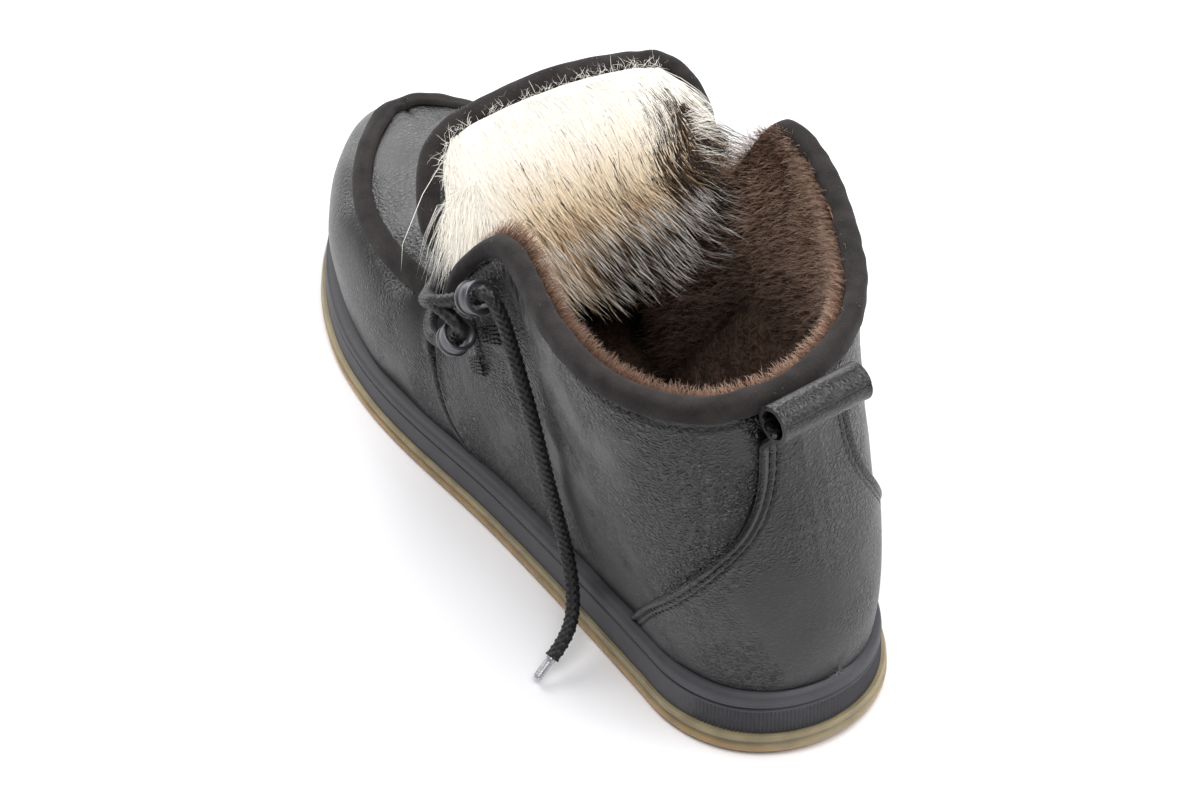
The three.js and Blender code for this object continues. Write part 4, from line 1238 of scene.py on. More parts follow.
def throat_route():
    """One lace from the inner upper loop, down, along the bar and up to the outer upper loop."""
    first = [*LACE_RISING_ROUTE, LACE_RISING_MIDDLE, *LACE_FALLING_ROUTE]
    second = across([*LACE_RISING_ROUTE, LACE_UNDER_MIDDLE, *LACE_FALLING_ROUTE])
    bar = [*LACE_BAR_ROUTE, LACE_BAR_MIDDLE, *across(LACE_BAR_ROUTE)[::-1]]
    return [
        mouth("medial", "upper", 1, 0.4),
        mouth("medial", "upper", -1),
        *first[::-1],
        mouth("lateral", "lower", 1),
        mouth("lateral", "lower", -1),
        *bar,
        mouth("medial", "lower", -1),
        mouth("medial", "lower", 1),
        *second,
        mouth("lateral", "upper", -1),
        mouth("lateral", "upper", 1, -0.2),
    ]


class BOOT_OT_lace(bpy.types.Operator):
    """Runs the braided lace through its loops and lets its free end hang, with its tip"""

    bl_idname = "boot.lace"
    bl_label = "Lace"

    def execute(self, context):
        pitch = context.scene.boot_sizes.braid / MM
        cord = material_of(braided_cord)
        path = route(LACE_END_ROUTE, LACE_END_STEP)
        end = tube("lace_end", path, LACE_RADIUS, 32, braid(pitch))
        finish(end, cord, ["lace_end_lateral"], 80)
        run = unit(path[-1] - path[-4])
        tip_path = path[-1] + run * np.linspace(-CRIMP["overlap"], AGLET["length"] + GAP, 40)[:, None]

        def crimp(gone, angle):
            rolled = CRIMP["flat"] * np.cos(2 * angle) * smooth(gone / 3)
            mouth_end = -CRIMP["mouth"] * smooth((gone - AGLET["length"] - 0.4) / 0.7)
            return rolled + mouth_end + CRIMP["bead"] * hill(gone - CRIMP["bead_at"], CRIMP["bead_half"])

        tip = tube("lace_tip", tip_path, AGLET["radius"], 24, crimp)
        finish(tip, material_of(silver_sleeve), ["lace_tip_lateral"])
        throat = tube("lace_across", route(throat_route(), THROAT_STEP), LACE_RADIUS, 24, braid(pitch))
        finish(throat, cord, ["lace_crossings"], 80)
        return {"FINISHED"}


# Sole

TREAD = {"depth": 1.8, "width": 3, "pitch": 12, "rim": 13}
TREAD_ZONES = ((-132, -60), (14, 74))
HEEL_RIBS = {"per_side": 42, "to_share": 0.19}
RIB_TOP = 0.6


def layered(name, shares, rises, ring, flats):
    """A sole layer: a side wall between rings of the outline, and a flat face across each end."""
    wall = bent_sheet(name, both_sides(shares), rises, ring)
    parts = [wall]
    for i, rise in enumerate((rises[0], rises[-1])):
        def face(share, part, rise=rise):
            level = np.full_like(share, rise)
            return ring(-share, level) * (1 - part)[:, None] + ring(share, level) * part[:, None]

        parts.append(bent_sheet(f"{name}_{i}", shares, even(0, 1, flats), face))
    return weld(join(name, *parts))


def cut_tread(outsole):
    """Cuts the grooves across the tread, short of the sole's rim."""
    cutters = []
    ladder = np.linspace(0, 1, 2001)
    for low, high in TREAD_ZONES:
        for y in even(low, high, round((high - low) / TREAD["pitch"])):
            share = np.interp(y / SOLE_LENGTH + 0.5, along_at(ladder), ladder)
            left, right = (outline(side * share, -TREAD["rim"], 0.0)[0] for side in (-1, 1))
            bpy.ops.mesh.primitive_cube_add(
                size=1,
                location=((left + right) / 2 * MM, y * MM, 0),
                scale=((right - left) * MM, TREAD["width"] * MM, 2 * TREAD["depth"] * MM),
            )
            cutters.append(bpy.context.object)
    cutter = join("tread_cutter", *cutters)
    only(outsole)
    groove = outsole.modifiers.new("Tread", "BOOLEAN")
    groove.object = cutter
    groove.solver = "EXACT"
    bpy.ops.object.modifier_apply(modifier=groove.name)
    bpy.data.objects.remove(cutter)


class BOOT_OT_sole(bpy.types.Operator):
    """Makes the gum outsole, the ribbed midsole and the footbed"""

    bl_idname = "boot.sole"
    bl_label = "Sole"

    def execute(self, context):
        plain = stations((0, HEEL_SHARE, 40), (HEEL_SHARE, TOE_SHARE, 56), (TOE_SHARE, 1, 44))

        def outsole_ring(s, rise):
            along = along_at(np.abs(wrap(s)))
            z = sole_bottom(along) + rise * read(LAYERS, "outsole", along)
            return outline(s, read(OUTSOLE_PROFILE, "outset", rise), z)

        outsole = layered("outsole_gum", plain, even(0, 1, 20), outsole_ring, 10)
        cut_tread(outsole)
        finish(outsole, material_of(gum_rubber), ["outsole"], 40)

        ribbed = stations(
            (0, HEEL_RIBS["to_share"], 6 * HEEL_RIBS["per_side"]),
            (HEEL_RIBS["to_share"], HEEL_SHARE, 6),
            (HEEL_SHARE, TOE_SHARE, 56),
            (TOE_SHARE, 1, 44),
        )
        depth = context.scene.boot_sizes.rib_depth / MM

        def midsole_ring(s, rise):
            share = np.abs(wrap(s))
            along = along_at(share)
            wave = 0.5 - 0.5 * np.cos(2 * np.pi * HEEL_RIBS["per_side"] * share / HEEL_RIBS["to_share"])
            fade = smooth(4 * (1 - share / HEEL_RIBS["to_share"])) * smooth((RIB_TOP - rise) / 0.05)
            outset = read(MIDSOLE_PROFILE, "outset", rise) - depth * fade * wave**0.7
            return outline(s, outset, midsole_bottom(along) + rise * read(LAYERS, "midsole", along))

        rises = stations((0, 0.55, 8), (0.55, 0.76, 16), (0.76, 1, 10))
        midsole = layered("midsole_rubber", ribbed, rises, midsole_ring, 8)
        finish(midsole, material_of(moulded_rubber), ["midsole"], 40)

        def insole_ring(s, rise):
            edge = -INSOLE_INSET - 1.5 * rise**6
            z = seat(along_at(np.abs(wrap(s)))) + GAP + rise * INSOLE_THICKNESS
            place = outline(s, edge, z)
            place[..., 2] += 0.5 * lumps(place, 7, 3) * (rise > 0.99)
            return place

        insole = layered("footbed_wool", plain[::2], even(0, 1, 6), insole_ring, 30)
        finish(insole, material_of(wool_pile), ["insole"])
        return {"FINISHED"}


# Upper

CREASE_STEPS = 32
CREASE_REACH = 90
SEAM_MIDDLE = 0.585
SEAM_WINDOW = (0.48, 0.7)
SEAM_TOP = 0.44
SEAM_FINE = 0.012
SEAM = {"half": 0.9, "depth": 1.2, "shoulder": 0.45, "shoulder_at": 2.6, "shoulder_half": 1.6}
GATHER = {
    "at": 5.2,
    "groove": 0.9,
    "groove_half": 0.9,
    "share": 0.395,
    "spread": 0.04,
    "reach": 17,
    "pitch": 0.0075,
    "depth": 0.24,
}


def seam_share(v):
    """Where the side seam runs, as a share of the outline."""
    return read(SIDE_SEAM, "share", np.minimum(v, SEAM_TOP))


def follow_seam(s, v):
    """Leads the grid's columns along the side seam, so that its groove stays crisp."""
    share = np.abs(s)
    low, high = SEAM_WINDOW
    before = (share - low) / (SEAM_MIDDLE - low)
    after = (high - share) / (high - SEAM_MIDDLE)
    near = np.clip(np.minimum(before, after), 0, 1)
    shift = (seam_share(v) - SEAM_MIDDLE) * near * (1 - smooth((v - 0.5) / 0.2))
    return np.where(s < 0, -1, 1) * (share + shift)


def crease_relief(place):
    """Height of the listed creases over each point, negative in a trough."""
    total = np.zeros(len(place))
    t = even(0, 1, CREASE_STEPS)
    for i in range(len(CREASES["s1"])):
        row = {name: column[i] for name, column in CREASES.items()}
        weights = ((1 - t) * (1 - 2 * t), 4 * t * (1 - t), t * (2 * t - 1))
        s = sum(weight * row[f"s{k}"] for k, weight in enumerate(weights, 1))
        v = sum(weight * row[f"v{k}"] for k, weight in enumerate(weights, 1))
        line = on_upper(s, np.clip(v, 0, 1))
        near = np.linalg.norm(place - line[CREASE_STEPS // 2], axis=1) < CREASE_REACH
        gaps = np.linalg.norm(place[near][:, None] - line[None], axis=-1)
        nearest = gaps.argmin(1)
        fade = np.sin(np.pi * np.clip(t[nearest], 0.02, 0.98)) ** 0.7
        total[near] -= row["depth"] * fade * hill(gaps.min(1), row["half"])
    return total


def upper_relief(s, v, place):
    """Creases, the side seam, the gathers under the binding and the soft unevenness of the leather."""
    gap = (np.abs(s) - seam_share(v)) * share_width(s, v)
    sewn = 1 - smooth((v - SEAM_TOP) / 0.03)
    groove = -SEAM["depth"] * hill(gap, SEAM["half"])
    shoulder = SEAM["shoulder"] * hill(np.abs(gap) - SEAM["shoulder_at"], SEAM["shoulder_half"])
    below = (1 - v) * rib_length(s)
    bound = np.abs(s) < BINDING_END
    under = -GATHER["groove"] * hill(below - GATHER["at"], GATHER["groove_half"]) * bound
    corner = hill(np.abs(s) - GATHER["share"], GATHER["spread"])
    fall = smooth((GATHER["reach"] - below) / GATHER["reach"])
    pleat = np.cos(2 * np.pi * np.abs(s) / GATHER["pitch"] + 0.8 * lumps(place, 9, 31))
    gathers = GATHER["depth"] * pleat * corner * fall
    return crease_relief(place) + sewn * (groove + shoulder) + under + gathers + 0.22 * lumps(place, 26, 5)


class BOOT_OT_upper(bpy.types.Operator):
    """Makes the leather upper with its creases and side seams"""

    bl_idname = "boot.upper"
    bl_label = "Upper"

    def execute(self, context):
        low, high = SEAM_WINDOW
        shares = stations(
            (0, 0.34, 46),
            (0.34, 0.44, 56),
            (0.44, low, 10),
            (low, SEAM_MIDDLE - SEAM_FINE, 22),
            (SEAM_MIDDLE - SEAM_FINE, SEAM_MIDDLE + SEAM_FINE, 20),
            (SEAM_MIDDLE + SEAM_FINE, high, 22),
            (high, TOE_SHARE, 14),
            (TOE_SHARE, 1, 34),
        )
        heights = stations((0, 0.84, 46), (0.84, 1, 18))

        def place(u, v):
            s = follow_seam(u, v)
            skin = on_upper(s, v)
            return skin + upper_normal(s, v) * upper_relief(s, v, skin)[:, None]

        upper = weld(bent_sheet("upper_leather", both_sides(shares), heights, place), fill=False)
        thicken(upper, WALL)
        finish(upper, material_of(pebbled_leather), ["upper"])
        return {"FINISHED"}


# Heel counter

COUNTER_ROWS = (3.0, 5.2)
COUNTER_GROOVE = {"half": 0.5, "depth": 0.4}
COUNTER_TURNED_EDGE = 0.45
COUNTER_STITCH = {"half_length": 1.15, "radius": 0.36}
COUNTER_LEAN = 0.01
NICK = {"share": 0.015, "half": 0.0022, "high": 0.085, "depth": 1.1}
STRAP = {"low": 0.85, "climb": 3.5, "meets": -95, "stitched_to": 0.93}
COUNTER_BEAD = {"at": 1.1, "half": 1.0, "height": 0.55}


def counter_share(v):
    """Half the counter's width, as a share of the outline."""
    return read(COUNTER_EDGE, "share", v)


def counter_middle(v):
    """The counter's top leans to the inner side."""
    return COUNTER_LEAN * smooth((v - 0.45) / 0.35)


def on_pull_loop(along, degrees, radius):
    """A point on the pull loop: along its axis, round it from the back upwards, and out from its middle."""
    yaw = math.radians(PULL_LOOP["yaw"])
    axis = np.array((math.cos(yaw), math.sin(yaw), 0))
    back = np.array((math.sin(yaw), -math.cos(yaw), 0))
    along, degrees, radius = np.broadcast_arrays(along, degrees, radius)
    angle = np.radians(degrees)
    spread = points(0, 0, np.sin(angle)) + np.cos(angle)[..., None] * back
    return np.array(PULL_LOOP_MIDDLE) + np.outer(along, axis) + spread * radius[..., None]


def counter_skin(part, h):
    """The face under the counter: the upper, and above it the strap that climbs to the pull loop."""
    v = np.minimum(h, STRAP["low"])
    s = part * counter_share(v) + counter_middle(v)
    skin = on_upper(s, v)
    normal = upper_normal(s, v)
    climb = unit(on_upper(s, v + 0.03) - skin)
    reach = part * PULL_LOOP["length"] / 2
    inside = PULL_LOOP["outer"] - GAP - OVERLAY
    meet = on_pull_loop(reach, STRAP["meets"], inside)
    turn_in = meet + points(0, -0.6, -STRAP["climb"])
    t = np.clip((h - STRAP["low"]) / (1 - STRAP["low"]), 0, 1)
    strap = arc((skin, skin + climb * STRAP["climb"], turn_in, meet), t)
    return np.where((t > 0)[:, None], strap, skin), normal, s, v


class BOOT_OT_counter(bpy.types.Operator):
    """Lays the heel counter and its strap on the upper, with a turned edge and two rows of stitches"""

    bl_idname = "boot.counter"
    bl_label = "Heel counter"

    def execute(self, context):
        edge_part = stations((0, 0.8, 36), (0.8, 0.93, 20), (0.93, 1, 20))
        heights = stations((0.004, STRAP["low"], 66), (STRAP["low"], 1, 14))

        def place(part, h):
            skin, normal, s, v = counter_skin(part, h)
            inside = (1 - np.abs(part)) * counter_share(v) * share_width(s, v)
            bead = hill(inside - COUNTER_BEAD["at"], COUNTER_BEAD["half"])
            sunk = sum(hill(inside - row, COUNTER_GROOVE["half"]) for row in COUNTER_ROWS)
            turned_edge = hill(inside, COUNTER_TURNED_EDGE)
            height = GAP + OVERLAY + COUNTER_BEAD["height"] * bead
            height = height - COUNTER_GROOVE["depth"] * sunk - turned_edge
            nick = hill(s - NICK["share"], NICK["half"]) * smooth((NICK["high"] - v) / 0.03)
            height = height + crease_relief(skin) + 0.15 * lumps(skin, 24, 9) - NICK["depth"] * nick
            return skin + normal * height[:, None]

        counter = bent_sheet("counter_leather", both_sides(edge_part), heights, place)
        thicken(counter, OVERLAY)
        leather = material_of(pebbled_leather, name="Counter leather", relief=0.4)
        finish(counter, leather, ["heel_counter"])

        found = []
        h = np.linspace(0.02, STRAP["stitched_to"], 400)
        for side in SIDES.values():
            for row in COUNTER_ROWS:
                v = np.minimum(h, STRAP["low"])
                share = counter_share(v)
                s = side * share + counter_middle(v)
                part = side * (1 - row / share_width(s, v) / share)
                skin, normal, _, _ = counter_skin(part, h)
                path = skin + normal * (GAP + OVERLAY - 0.3 + crease_relief(skin))[:, None]
                found.append(stitch_line(path, normal, context.scene.boot_sizes.stitch / MM))
        stitches = pips("counter_stitches", *together(found), **COUNTER_STITCH)
        finish(stitches, material_of(sewing_thread))
        return {"FINISHED"}


# Bindings

APRON_FOLD = {"at": 0.42, "half": 0.13, "depth": 0.55}
COLLAR_ROLL = {"top": -2.85, "bottom": 4.7, "outer": 2.2, "inner": -4.4, "square": 2.7}


def collar_roll(s, angle):
    """The collar binding's rounded section, from its outer face at angle 0 down and round."""
    roll = COLLAR_ROLL

    def between(low, high, value):
        bulge = np.sign(value) * np.abs(value) ** (2 / roll["square"])
        return (low + high) / 2 + (high - low) / 2 * bulge

    depth = between(roll["top"], roll["bottom"], np.sin(angle))
    off = between(roll["inner"], roll["outer"], np.cos(angle))
    place = by_edge(s, depth, off)
    uneven = 0.18 * lumps(place, 8, 11)
    return place + upper_normal(s, np.full_like(s, 0.97)) * uneven[:, None]


def apron_roll(u, angle):
    """The apron binding's section, rounded off across the toe."""
    ease = APRON_EASE * (1 - smooth((1 - np.abs(wrap(u))) / (4 * APRON_EASE)))
    return sum(weight * apron_section(u + ease * k, angle) for k, weight in ((-1, 0.25), (0, 0.5), (1, 0.25)))


def apron_section(u, angle):
    """The apron binding's crowned section, with the crease along its inner side."""
    s = wrap(u)
    part = np.cos(angle)
    seam = read(APRON_SEAM, "v", np.abs(s))
    v = np.clip(seam + 0.5 * part * APRON_BAND / rib_length(s), 0, 0.995)
    crown = np.abs(np.sin(angle)) ** 0.75 * (np.sin(angle) > 0)
    fold = -APRON_FOLD["depth"] * hill(part - APRON_FOLD["at"], APRON_FOLD["half"]) * crown
    place = on_upper(s, v)
    height = GAP + APRON_CROWN * crown + fold + 0.15 * lumps(place, 9, 13) * crown
    return place + upper_normal(s, v) * height[:, None]


class BOOT_OT_bindings(bpy.types.Operator):
    """Rolls the suede binding over the collar, and the one round the apron"""

    bl_idname = "boot.bindings"
    bl_label = "Bindings"

    def execute(self, context):
        suede = material_of(napped_suede)
        angles = full_turn(22)
        shares = stations((0, 0.34, 60), (0.34, 0.46, 50), (0.46, BINDING_END, 16))
        binding = weld(bent_sheet("collar_suede", both_sides(shares), angles, collar_roll))
        finish(binding, suede, ["collar_binding"])

        first = APRON_SEAM["share"][0]
        spread = stations((0, 0.16, 22), (0.16, 0.3, 34), (0.3, 1 - first, 24))
        turns = np.concatenate([-first - spread, first - 2 + spread[::-1][1:]])
        binding = weld(bent_sheet("apron_suede", turns, angles, apron_roll))
        finish(binding, suede, ["apron_binding"])
        return {"FINISHED"}


# Tongue

HEM = {"low": 0.36, "inside": 6.3, "outside": 1.7, "half": 3.6, "steps": 170}


def hem_line(count):
    """Across and along the tongue, round its free edge, with softly turned corners."""
    low = HEM["low"]
    corners = np.array([(-1, low), (-1, 0.6), (-1, 0.8), (-1, 0.93), (-0.93, 1), (-0.5, 1), (0, 1)])
    whole = np.concatenate([corners, (corners * (-1, 1))[::-1][1:]])
    reach = distances(whole)
    at = np.linspace(0, reach[-1], count)
    rows = {"at": reach, "across": whole[:, 0], "along": whole[:, 1]}
    return read(rows, "across", at), np.minimum(read(rows, "along", at), 1)


def hem_roll(i, angle):
    """The hem's padded section, at a step of its line round the tongue."""
    i = i.astype(int)
    path = hem_line(HEM["steps"])
    middle = tongue_point(*path)
    normal = tongue_normal(*path)
    inwards = np.cross(unit(np.gradient(middle, axis=0)), normal)
    shift = (HEM["inside"] - HEM["outside"]) / 2
    half = (HEM["inside"] + HEM["outside"]) / 2
    part = np.sign(np.cos(angle)) * np.abs(np.cos(angle)) ** 0.85
    place = middle[i] + inwards[i] * (shift + half * part)[:, None]
    swell = HEM["half"] * np.sin(angle) * (1 + 0.05 * lumps(place, 9, 19))
    return place + normal[i] * swell[:, None]


class BOOT_OT_tongue(bpy.types.Operator):
    """Makes the leather tongue, turned forward, and the suede hem round its edge"""

    bl_idname = "boot.tongue"
    bl_label = "Tongue"

    def execute(self, context):
        def leaf(across_part, along):
            place = tongue_point(across_part, along)
            lift = TONGUE_THICKNESS / 2 + 0.5 * lumps(place, 30, 17) * smooth((along - 0.2) / 0.2)
            return place + tongue_normal(across_part, along) * lift[:, None]

        leather = bent_sheet("tongue_leather", even(-1, 1, 44), even(0, 1, 60), leaf)
        thicken(leather, TONGUE_THICKNESS)
        finish(leather, material_of(pebbled_leather), ["tongue"])

        steps = np.arange(HEM["steps"], dtype=float)
        roll = weld(bent_sheet("tongue_suede", steps, full_turn(20), hem_roll))
        finish(roll, material_of(napped_suede), ["tongue_hem"])
        return {"FINISHED"}


# Fur

# Share of the fur's depth that its undercoat fills
FUR_UNDER = 0.72
FUR_RUN = {"across": 42, "along": 75}
# Share of hairs in the inner coat, and of white tips in the outer one
FUR_SHORT = 0.915
FUR_TIPPED = 0.55
FUR_PAD = {"edge": 1.04, "low": 0.17, "high": 0.86, "narrows": 0.16, "narrows_from": 0.7, "wall": 1.0}
FUR_ROOTS = {"low": 0.25, "high": 0.85}
FRINGE = {"level": 80, "soft": 5}
# Thinnest growth, dark streaks, lift, looseness and how far the tips of a lock draw together
INNER_COAT = {"floor": 0.6, "streaks": 0, "lift": 0.2, "loose": 0.1, "gather": 0.2}
OUTER_COAT = {"floor": 0.03, "streaks": 0.16, "lift": 0.4, "loose": 0.17, "gather": 0.3}
INNER_WIDTH = (0.15, 0.26)
OUTER_WIDTH = (0.11, 0.2)
FINE_WIDTH = (0.06, 0.13)
# Width and length of a lock, and the length of fur that the locks divide
LOCK = {"width": 4.5, "length": 5.5, "run": 65}
WISPS = (
    {"count": 1700, "across": (-1.04, -0.8), "along": (0.33, 0.6), "start": (-0.4, -0.35, 0.05),
     "hang": (-0.36, -0.45, -0.82), "reach": (15, 36), "loose": 0.14, "wave": 0.9},
    {"count": 260, "across": (-0.95, 0.95), "along": (0.8, 0.86), "start": (0.1, 0.4, 0.1),
     "hang": (0.1, 0.25, -0.1), "reach": (2, 6), "loose": 0.7, "wave": 0.7},
    {"count": 100, "across": (-1.04, -0.96), "along": (0.55, 0.84), "start": (-0.6, 0, 0),
     "hang": (-0.4, -0.3, -0.4), "reach": (2.5, 7), "loose": 0.7, "wave": 1.1},
    {"count": 700, "across": (0.86, 1.02), "along": (0.3, 0.58), "start": (0.8, -0.2, 0.1),
     "hang": (0.7, -0.5, -0.25), "reach": (6, 17), "loose": 0.3, "wave": 0.9},
)


def fur_cream(across_part, along):
    """How creamy the light hairs are: white at the tip and the outer edge, warmer towards the foot."""
    warm = 0.2 * smooth((0.74 - along) / 0.25) + 0.24 * smooth((0.5 - along) / 0.15)
    return warm * smooth((across_part + 1.0) / 0.5)


def fur_dark(across_part, along):
    """The share of dark hairs: most at the inner side and in the fringe, few in the middle."""
    inner = smooth((across_part - 0.34 - 0.5 * (along - 0.55)) / 0.36) * smooth((0.84 - along) / 0.12)
    lobe = smooth((across_part - 0.84) / 0.14) * smooth((along - 0.62) / 0.1)
    foot = smooth((0.42 - along) / 0.1) * smooth((across_part + 0.55) / 0.5)
    few = 0.05 * smooth((0.72 - along) / 0.12) * smooth((across_part + 0.8) / 0.3)
    return np.clip(few + 0.8 * inner * (1 - lobe) + 0.9 * foot, 0, 0.93)


def fur_round(across_part, along):
    """How far the pad is rounded off: 1 in its middle, 0 at its edges."""
    edge, low, high = (FUR_PAD[key] for key in ("edge", "low", "high"))
    ends = np.clip(np.minimum((along - low) / 0.07, (high + 0.01 - along) / 0.17), 0, 1)
    sides = np.clip((edge - np.abs(across_part)) / 0.2, 0, 1)
    return np.sqrt(1 - (1 - ends) ** 2) * np.sqrt(1 - (1 - sides) ** 2)


def fur_roots(rng, count, floor):
    """Where hairs start on the pad: thick in its dark parts and towards its foot, thin where it is white."""
    across_part = rng.uniform(-0.98, 1.0, count * 5)
    along = rng.uniform(FUR_ROOTS["low"], FUR_ROOTS["high"], count * 5)
    weight = floor + (1 - floor) * np.maximum(fur_dark(across_part, along), smooth((0.62 - along) / 0.2))
    kept = np.flatnonzero(rng.uniform(0, 1, count * 5) < weight)[:count]
    return across_part[kept], along[kept]


def level_off(corners):
    """Turns hairs level where they would hang below the fringe."""
    low = np.maximum(FRINGE["level"] - corners[..., 2], 0)
    corners[..., 2] += low - FRINGE["soft"] * (1 - np.exp(-low / FRINGE["soft"]))
    return corners


def lying_hair(rng, across_part, along, normal, size, lift, loose):
    """Arcs of hairs that lie on the pad, on their way down the tongue."""
    bias = 0.2 + 0.15 * across_part + rng.normal(0, 2.5 * loose, len(along))
    rise = rng.uniform(0.4, 1.4, len(along)) * 5 * lift
    corners = []
    for t, raised in ((0, -0.1), (0.33, 0.7), (0.67, 1.0), (1, 0.8)):
        part = across_part + bias * t * size / FUR_RUN["across"]
        at = np.maximum(along - t * size / FUR_RUN["along"], FUR_ROOTS["low"])
        place = fur_face(part, at, FUR_UNDER * fur_round(np.clip(part, -1, 1), at))
        corners.append(place + normal * (raised * rise)[:, None])
    return np.stack(corners, 1)


def hanging_hair(rng, across_part, along, root, normal, size, lift, loose):
    """Arcs of hairs that leave the pad and hang, the ones at its inner side splayed out."""
    count = len(along)
    steep = smooth((along - 0.3) / 0.35)
    outer = smooth((across_part - 0.6) / 0.4) * (1 - smooth((along - 0.62) / 0.2))
    sway = 0.12 * lumps(root, 16, 37)
    aside = 0.1 + 0.12 * across_part + 0.9 * outer + sway
    hang = unit(points(aside, -0.85, -0.15 - 0.4 * steep - sway))
    hang = unit(hang + rng.normal(0, loose, (count, 3)))
    start = unit(hang * 0.6 + normal * (lift + 0.15 * rng.uniform(-1, 1, count))[:, None])
    first = root + start * (size * 0.34)[:, None]
    second = first + unit(start * 0.45 + hang) * (size * 0.34)[:, None]
    second = second + rng.normal(0, 4 * loose, (count, 3))
    return np.stack([root, first, second, second + hang * (size * 0.36)[:, None]], 1)


def fur_hair(rng, count, floor, streaks, reach, lift, loose, gather):
    """Hairs that flow down the tongue in locks: their arcs, tones and the normals under them."""
    across_part, along = fur_roots(rng, count, floor)
    count = len(along)
    normal = tongue_normal(across_part * FUR_WIDTH, along)
    size = reach * rng.uniform(0.6, 1.15, count) * (1 + 0.35 * smooth((across_part - 0.65) / 0.3))
    lying = lying_hair(rng, across_part, along, normal, size, lift, loose)
    hanging = hanging_hair(rng, across_part, along, lying[:, 0], normal, size, lift, loose)
    splay = smooth((across_part - 0.72) / 0.2) * (1 - smooth((along - 0.6) / 0.1))
    lies = (smooth((along - 0.38) / 0.22) * (1 - 0.8 * splay))[:, None, None]
    corners = lying * lies + hanging * (1 - lies)
    column = np.floor(across_part * FUR_RUN["across"] / LOCK["width"])
    row = np.floor(along * LOCK["run"] / LOCK["length"])
    corners[:, 3] = clump(corners[:, 3], np.stack([column, row], 1), gather)
    few = streaks * smooth((0.76 - along) / 0.1)
    dark = rng.uniform(0, 1, count) < fur_dark(across_part, along) + few
    light = rng.uniform(0, 0.1, count) + fur_cream(across_part, along)
    tone = np.where(dark, rng.uniform(0.7, 1.0, count), light)
    return level_off(corners), tone, normal


def fur_wisps(rng):
    """Loose white hairs: a tuft that hangs over the outer edge, and short ones round the pad."""
    found = []
    for group in WISPS:
        count = group["count"]
        across_part = rng.uniform(*group["across"], count)
        along = rng.uniform(*group["along"], count)
        normal = tongue_normal(across_part * FUR_WIDTH, along)
        root = fur_face(np.clip(across_part, -1.1, 1.1), along, 0.75)
        start = unit(np.array(group["start"]) + normal * 0.45 + rng.normal(0, group["loose"], (count, 3)))
        hang = unit(np.array(group["hang"]) + rng.normal(0, group["loose"], (count, 3)))
        size = rng.uniform(*group["reach"], count)[:, None]
        wave = rng.normal(0, group["wave"], (2, count, 3))
        first = root + start * size * 0.3 + wave[0]
        second = first + unit(start * 0.4 + hang) * size * 0.35 + wave[1]
        found.append((np.stack([root, first, second, second + hang * size * 0.35], 1), normal))
    return together(found)


def finish_hair(piece, material):
    """Gives hairs their finish and keeps their own soft normals."""
    piece.data.materials.append(material)
    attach(piece, "root")


def clump(tips, cells, share):
    """Draws the tips of hairs in one cell towards their middle."""
    _, index = np.unique(cells, axis=0, return_inverse=True)
    index = index.ravel()
    size = np.bincount(index)
    middle = np.stack([np.bincount(index, tips[:, i]) / size for i in range(3)], 1)
    return tips + (middle[index] - tips) * share


class BOOT_OT_fur(bpy.types.Operator):
    """Grows the deep fur on the tongue: its undercoat, its coats and the loose hairs round it"""

    bl_idname = "boot.fur"
    bl_label = "Fur"

    def execute(self, context):
        fur = material_of(long_fur)
        self.undercoat(material_of(long_fur, name="Fur undercoat", pile=0.8))
        rng = np.random.default_rng(SEED)
        total = context.scene.boot_sizes.fur_hairs
        reach = context.scene.boot_sizes.fur / MM
        short = round(total * FUR_SHORT)
        corners, tone, normal = fur_hair(rng, short, reach=0.5 * reach, **INNER_COAT)
        width = rng.uniform(*INNER_WIDTH, len(tone))
        coat = hairs("fur_inner_coat", corners, width, tone, normal, 0.85, 0.6)
        finish_hair(coat, fur)
        corners, tone, normal = fur_hair(rng, total - short, reach=reach, **OUTER_COAT)
        width = rng.uniform(*OUTER_WIDTH, len(tone))
        tips = np.where(rng.uniform(0, 1, len(tone)) < FUR_TIPPED, 1.1, 0.6)
        coat = hairs("fur_outer_coat", corners, width, tone, normal, 0.7, tips)
        finish_hair(coat, fur)
        corners, normal = fur_wisps(rng)
        count = len(corners)
        width = rng.uniform(*FINE_WIDTH, count)
        coat = hairs("fur_wisps", corners, width, rng.uniform(0, 0.12, count), normal, 0.7)
        finish_hair(coat, fur)
        return {"FINISHED"}

    def undercoat(self, fur):
        """The dense soft pad under the hairs."""
        edge, low, high = (FUR_PAD[key] for key in ("edge", "low", "high"))

        def face(across_part, along):
            round_off = fur_round(across_part, along)
            top = np.clip((along - FUR_PAD["narrows_from"]) / (high - FUR_PAD["narrows_from"]), 0, 1)
            across_part = across_part * (1 - FUR_PAD["narrows"] * top**3)
            place = fur_face(across_part, along, FUR_UNDER * round_off)
            uneven = 0.35 * lumps(place, 11, 23) * round_off
            return place + tongue_normal(across_part * FUR_WIDTH, along) * uneven[:, None]

        pad = bent_sheet("fur_undercoat", even(-edge, edge, 66), even(low, high, 56), face)
        layer = pad.data.uv_layers.active.data
        flat = np.empty(len(layer) * 2, np.float32)
        layer.foreach_get("uv", flat)
        grid = flat.reshape(-1, 2)
        across_part = (grid[:, 0] * 2 - 1) * edge
        along = low + grid[:, 1] * (high - low)
        dark = smooth(1.1 * fur_dark(across_part, along) - 0.1) * smooth((0.64 - along) / 0.14)
        tone = (1 - dark) * (0.03 + fur_cream(across_part, along)) + 0.8 * dark
        layer.foreach_set("uv", np.stack([tone, np.full_like(tone, 0.4)], 1).astype(np.float32).ravel())
        thicken(pad, FUR_PAD["wall"])
        finish(pad, fur, ["tongue_fur"])


# Lining

LINING_OFF = 1.1
LINING_THICKNESS = 0.8
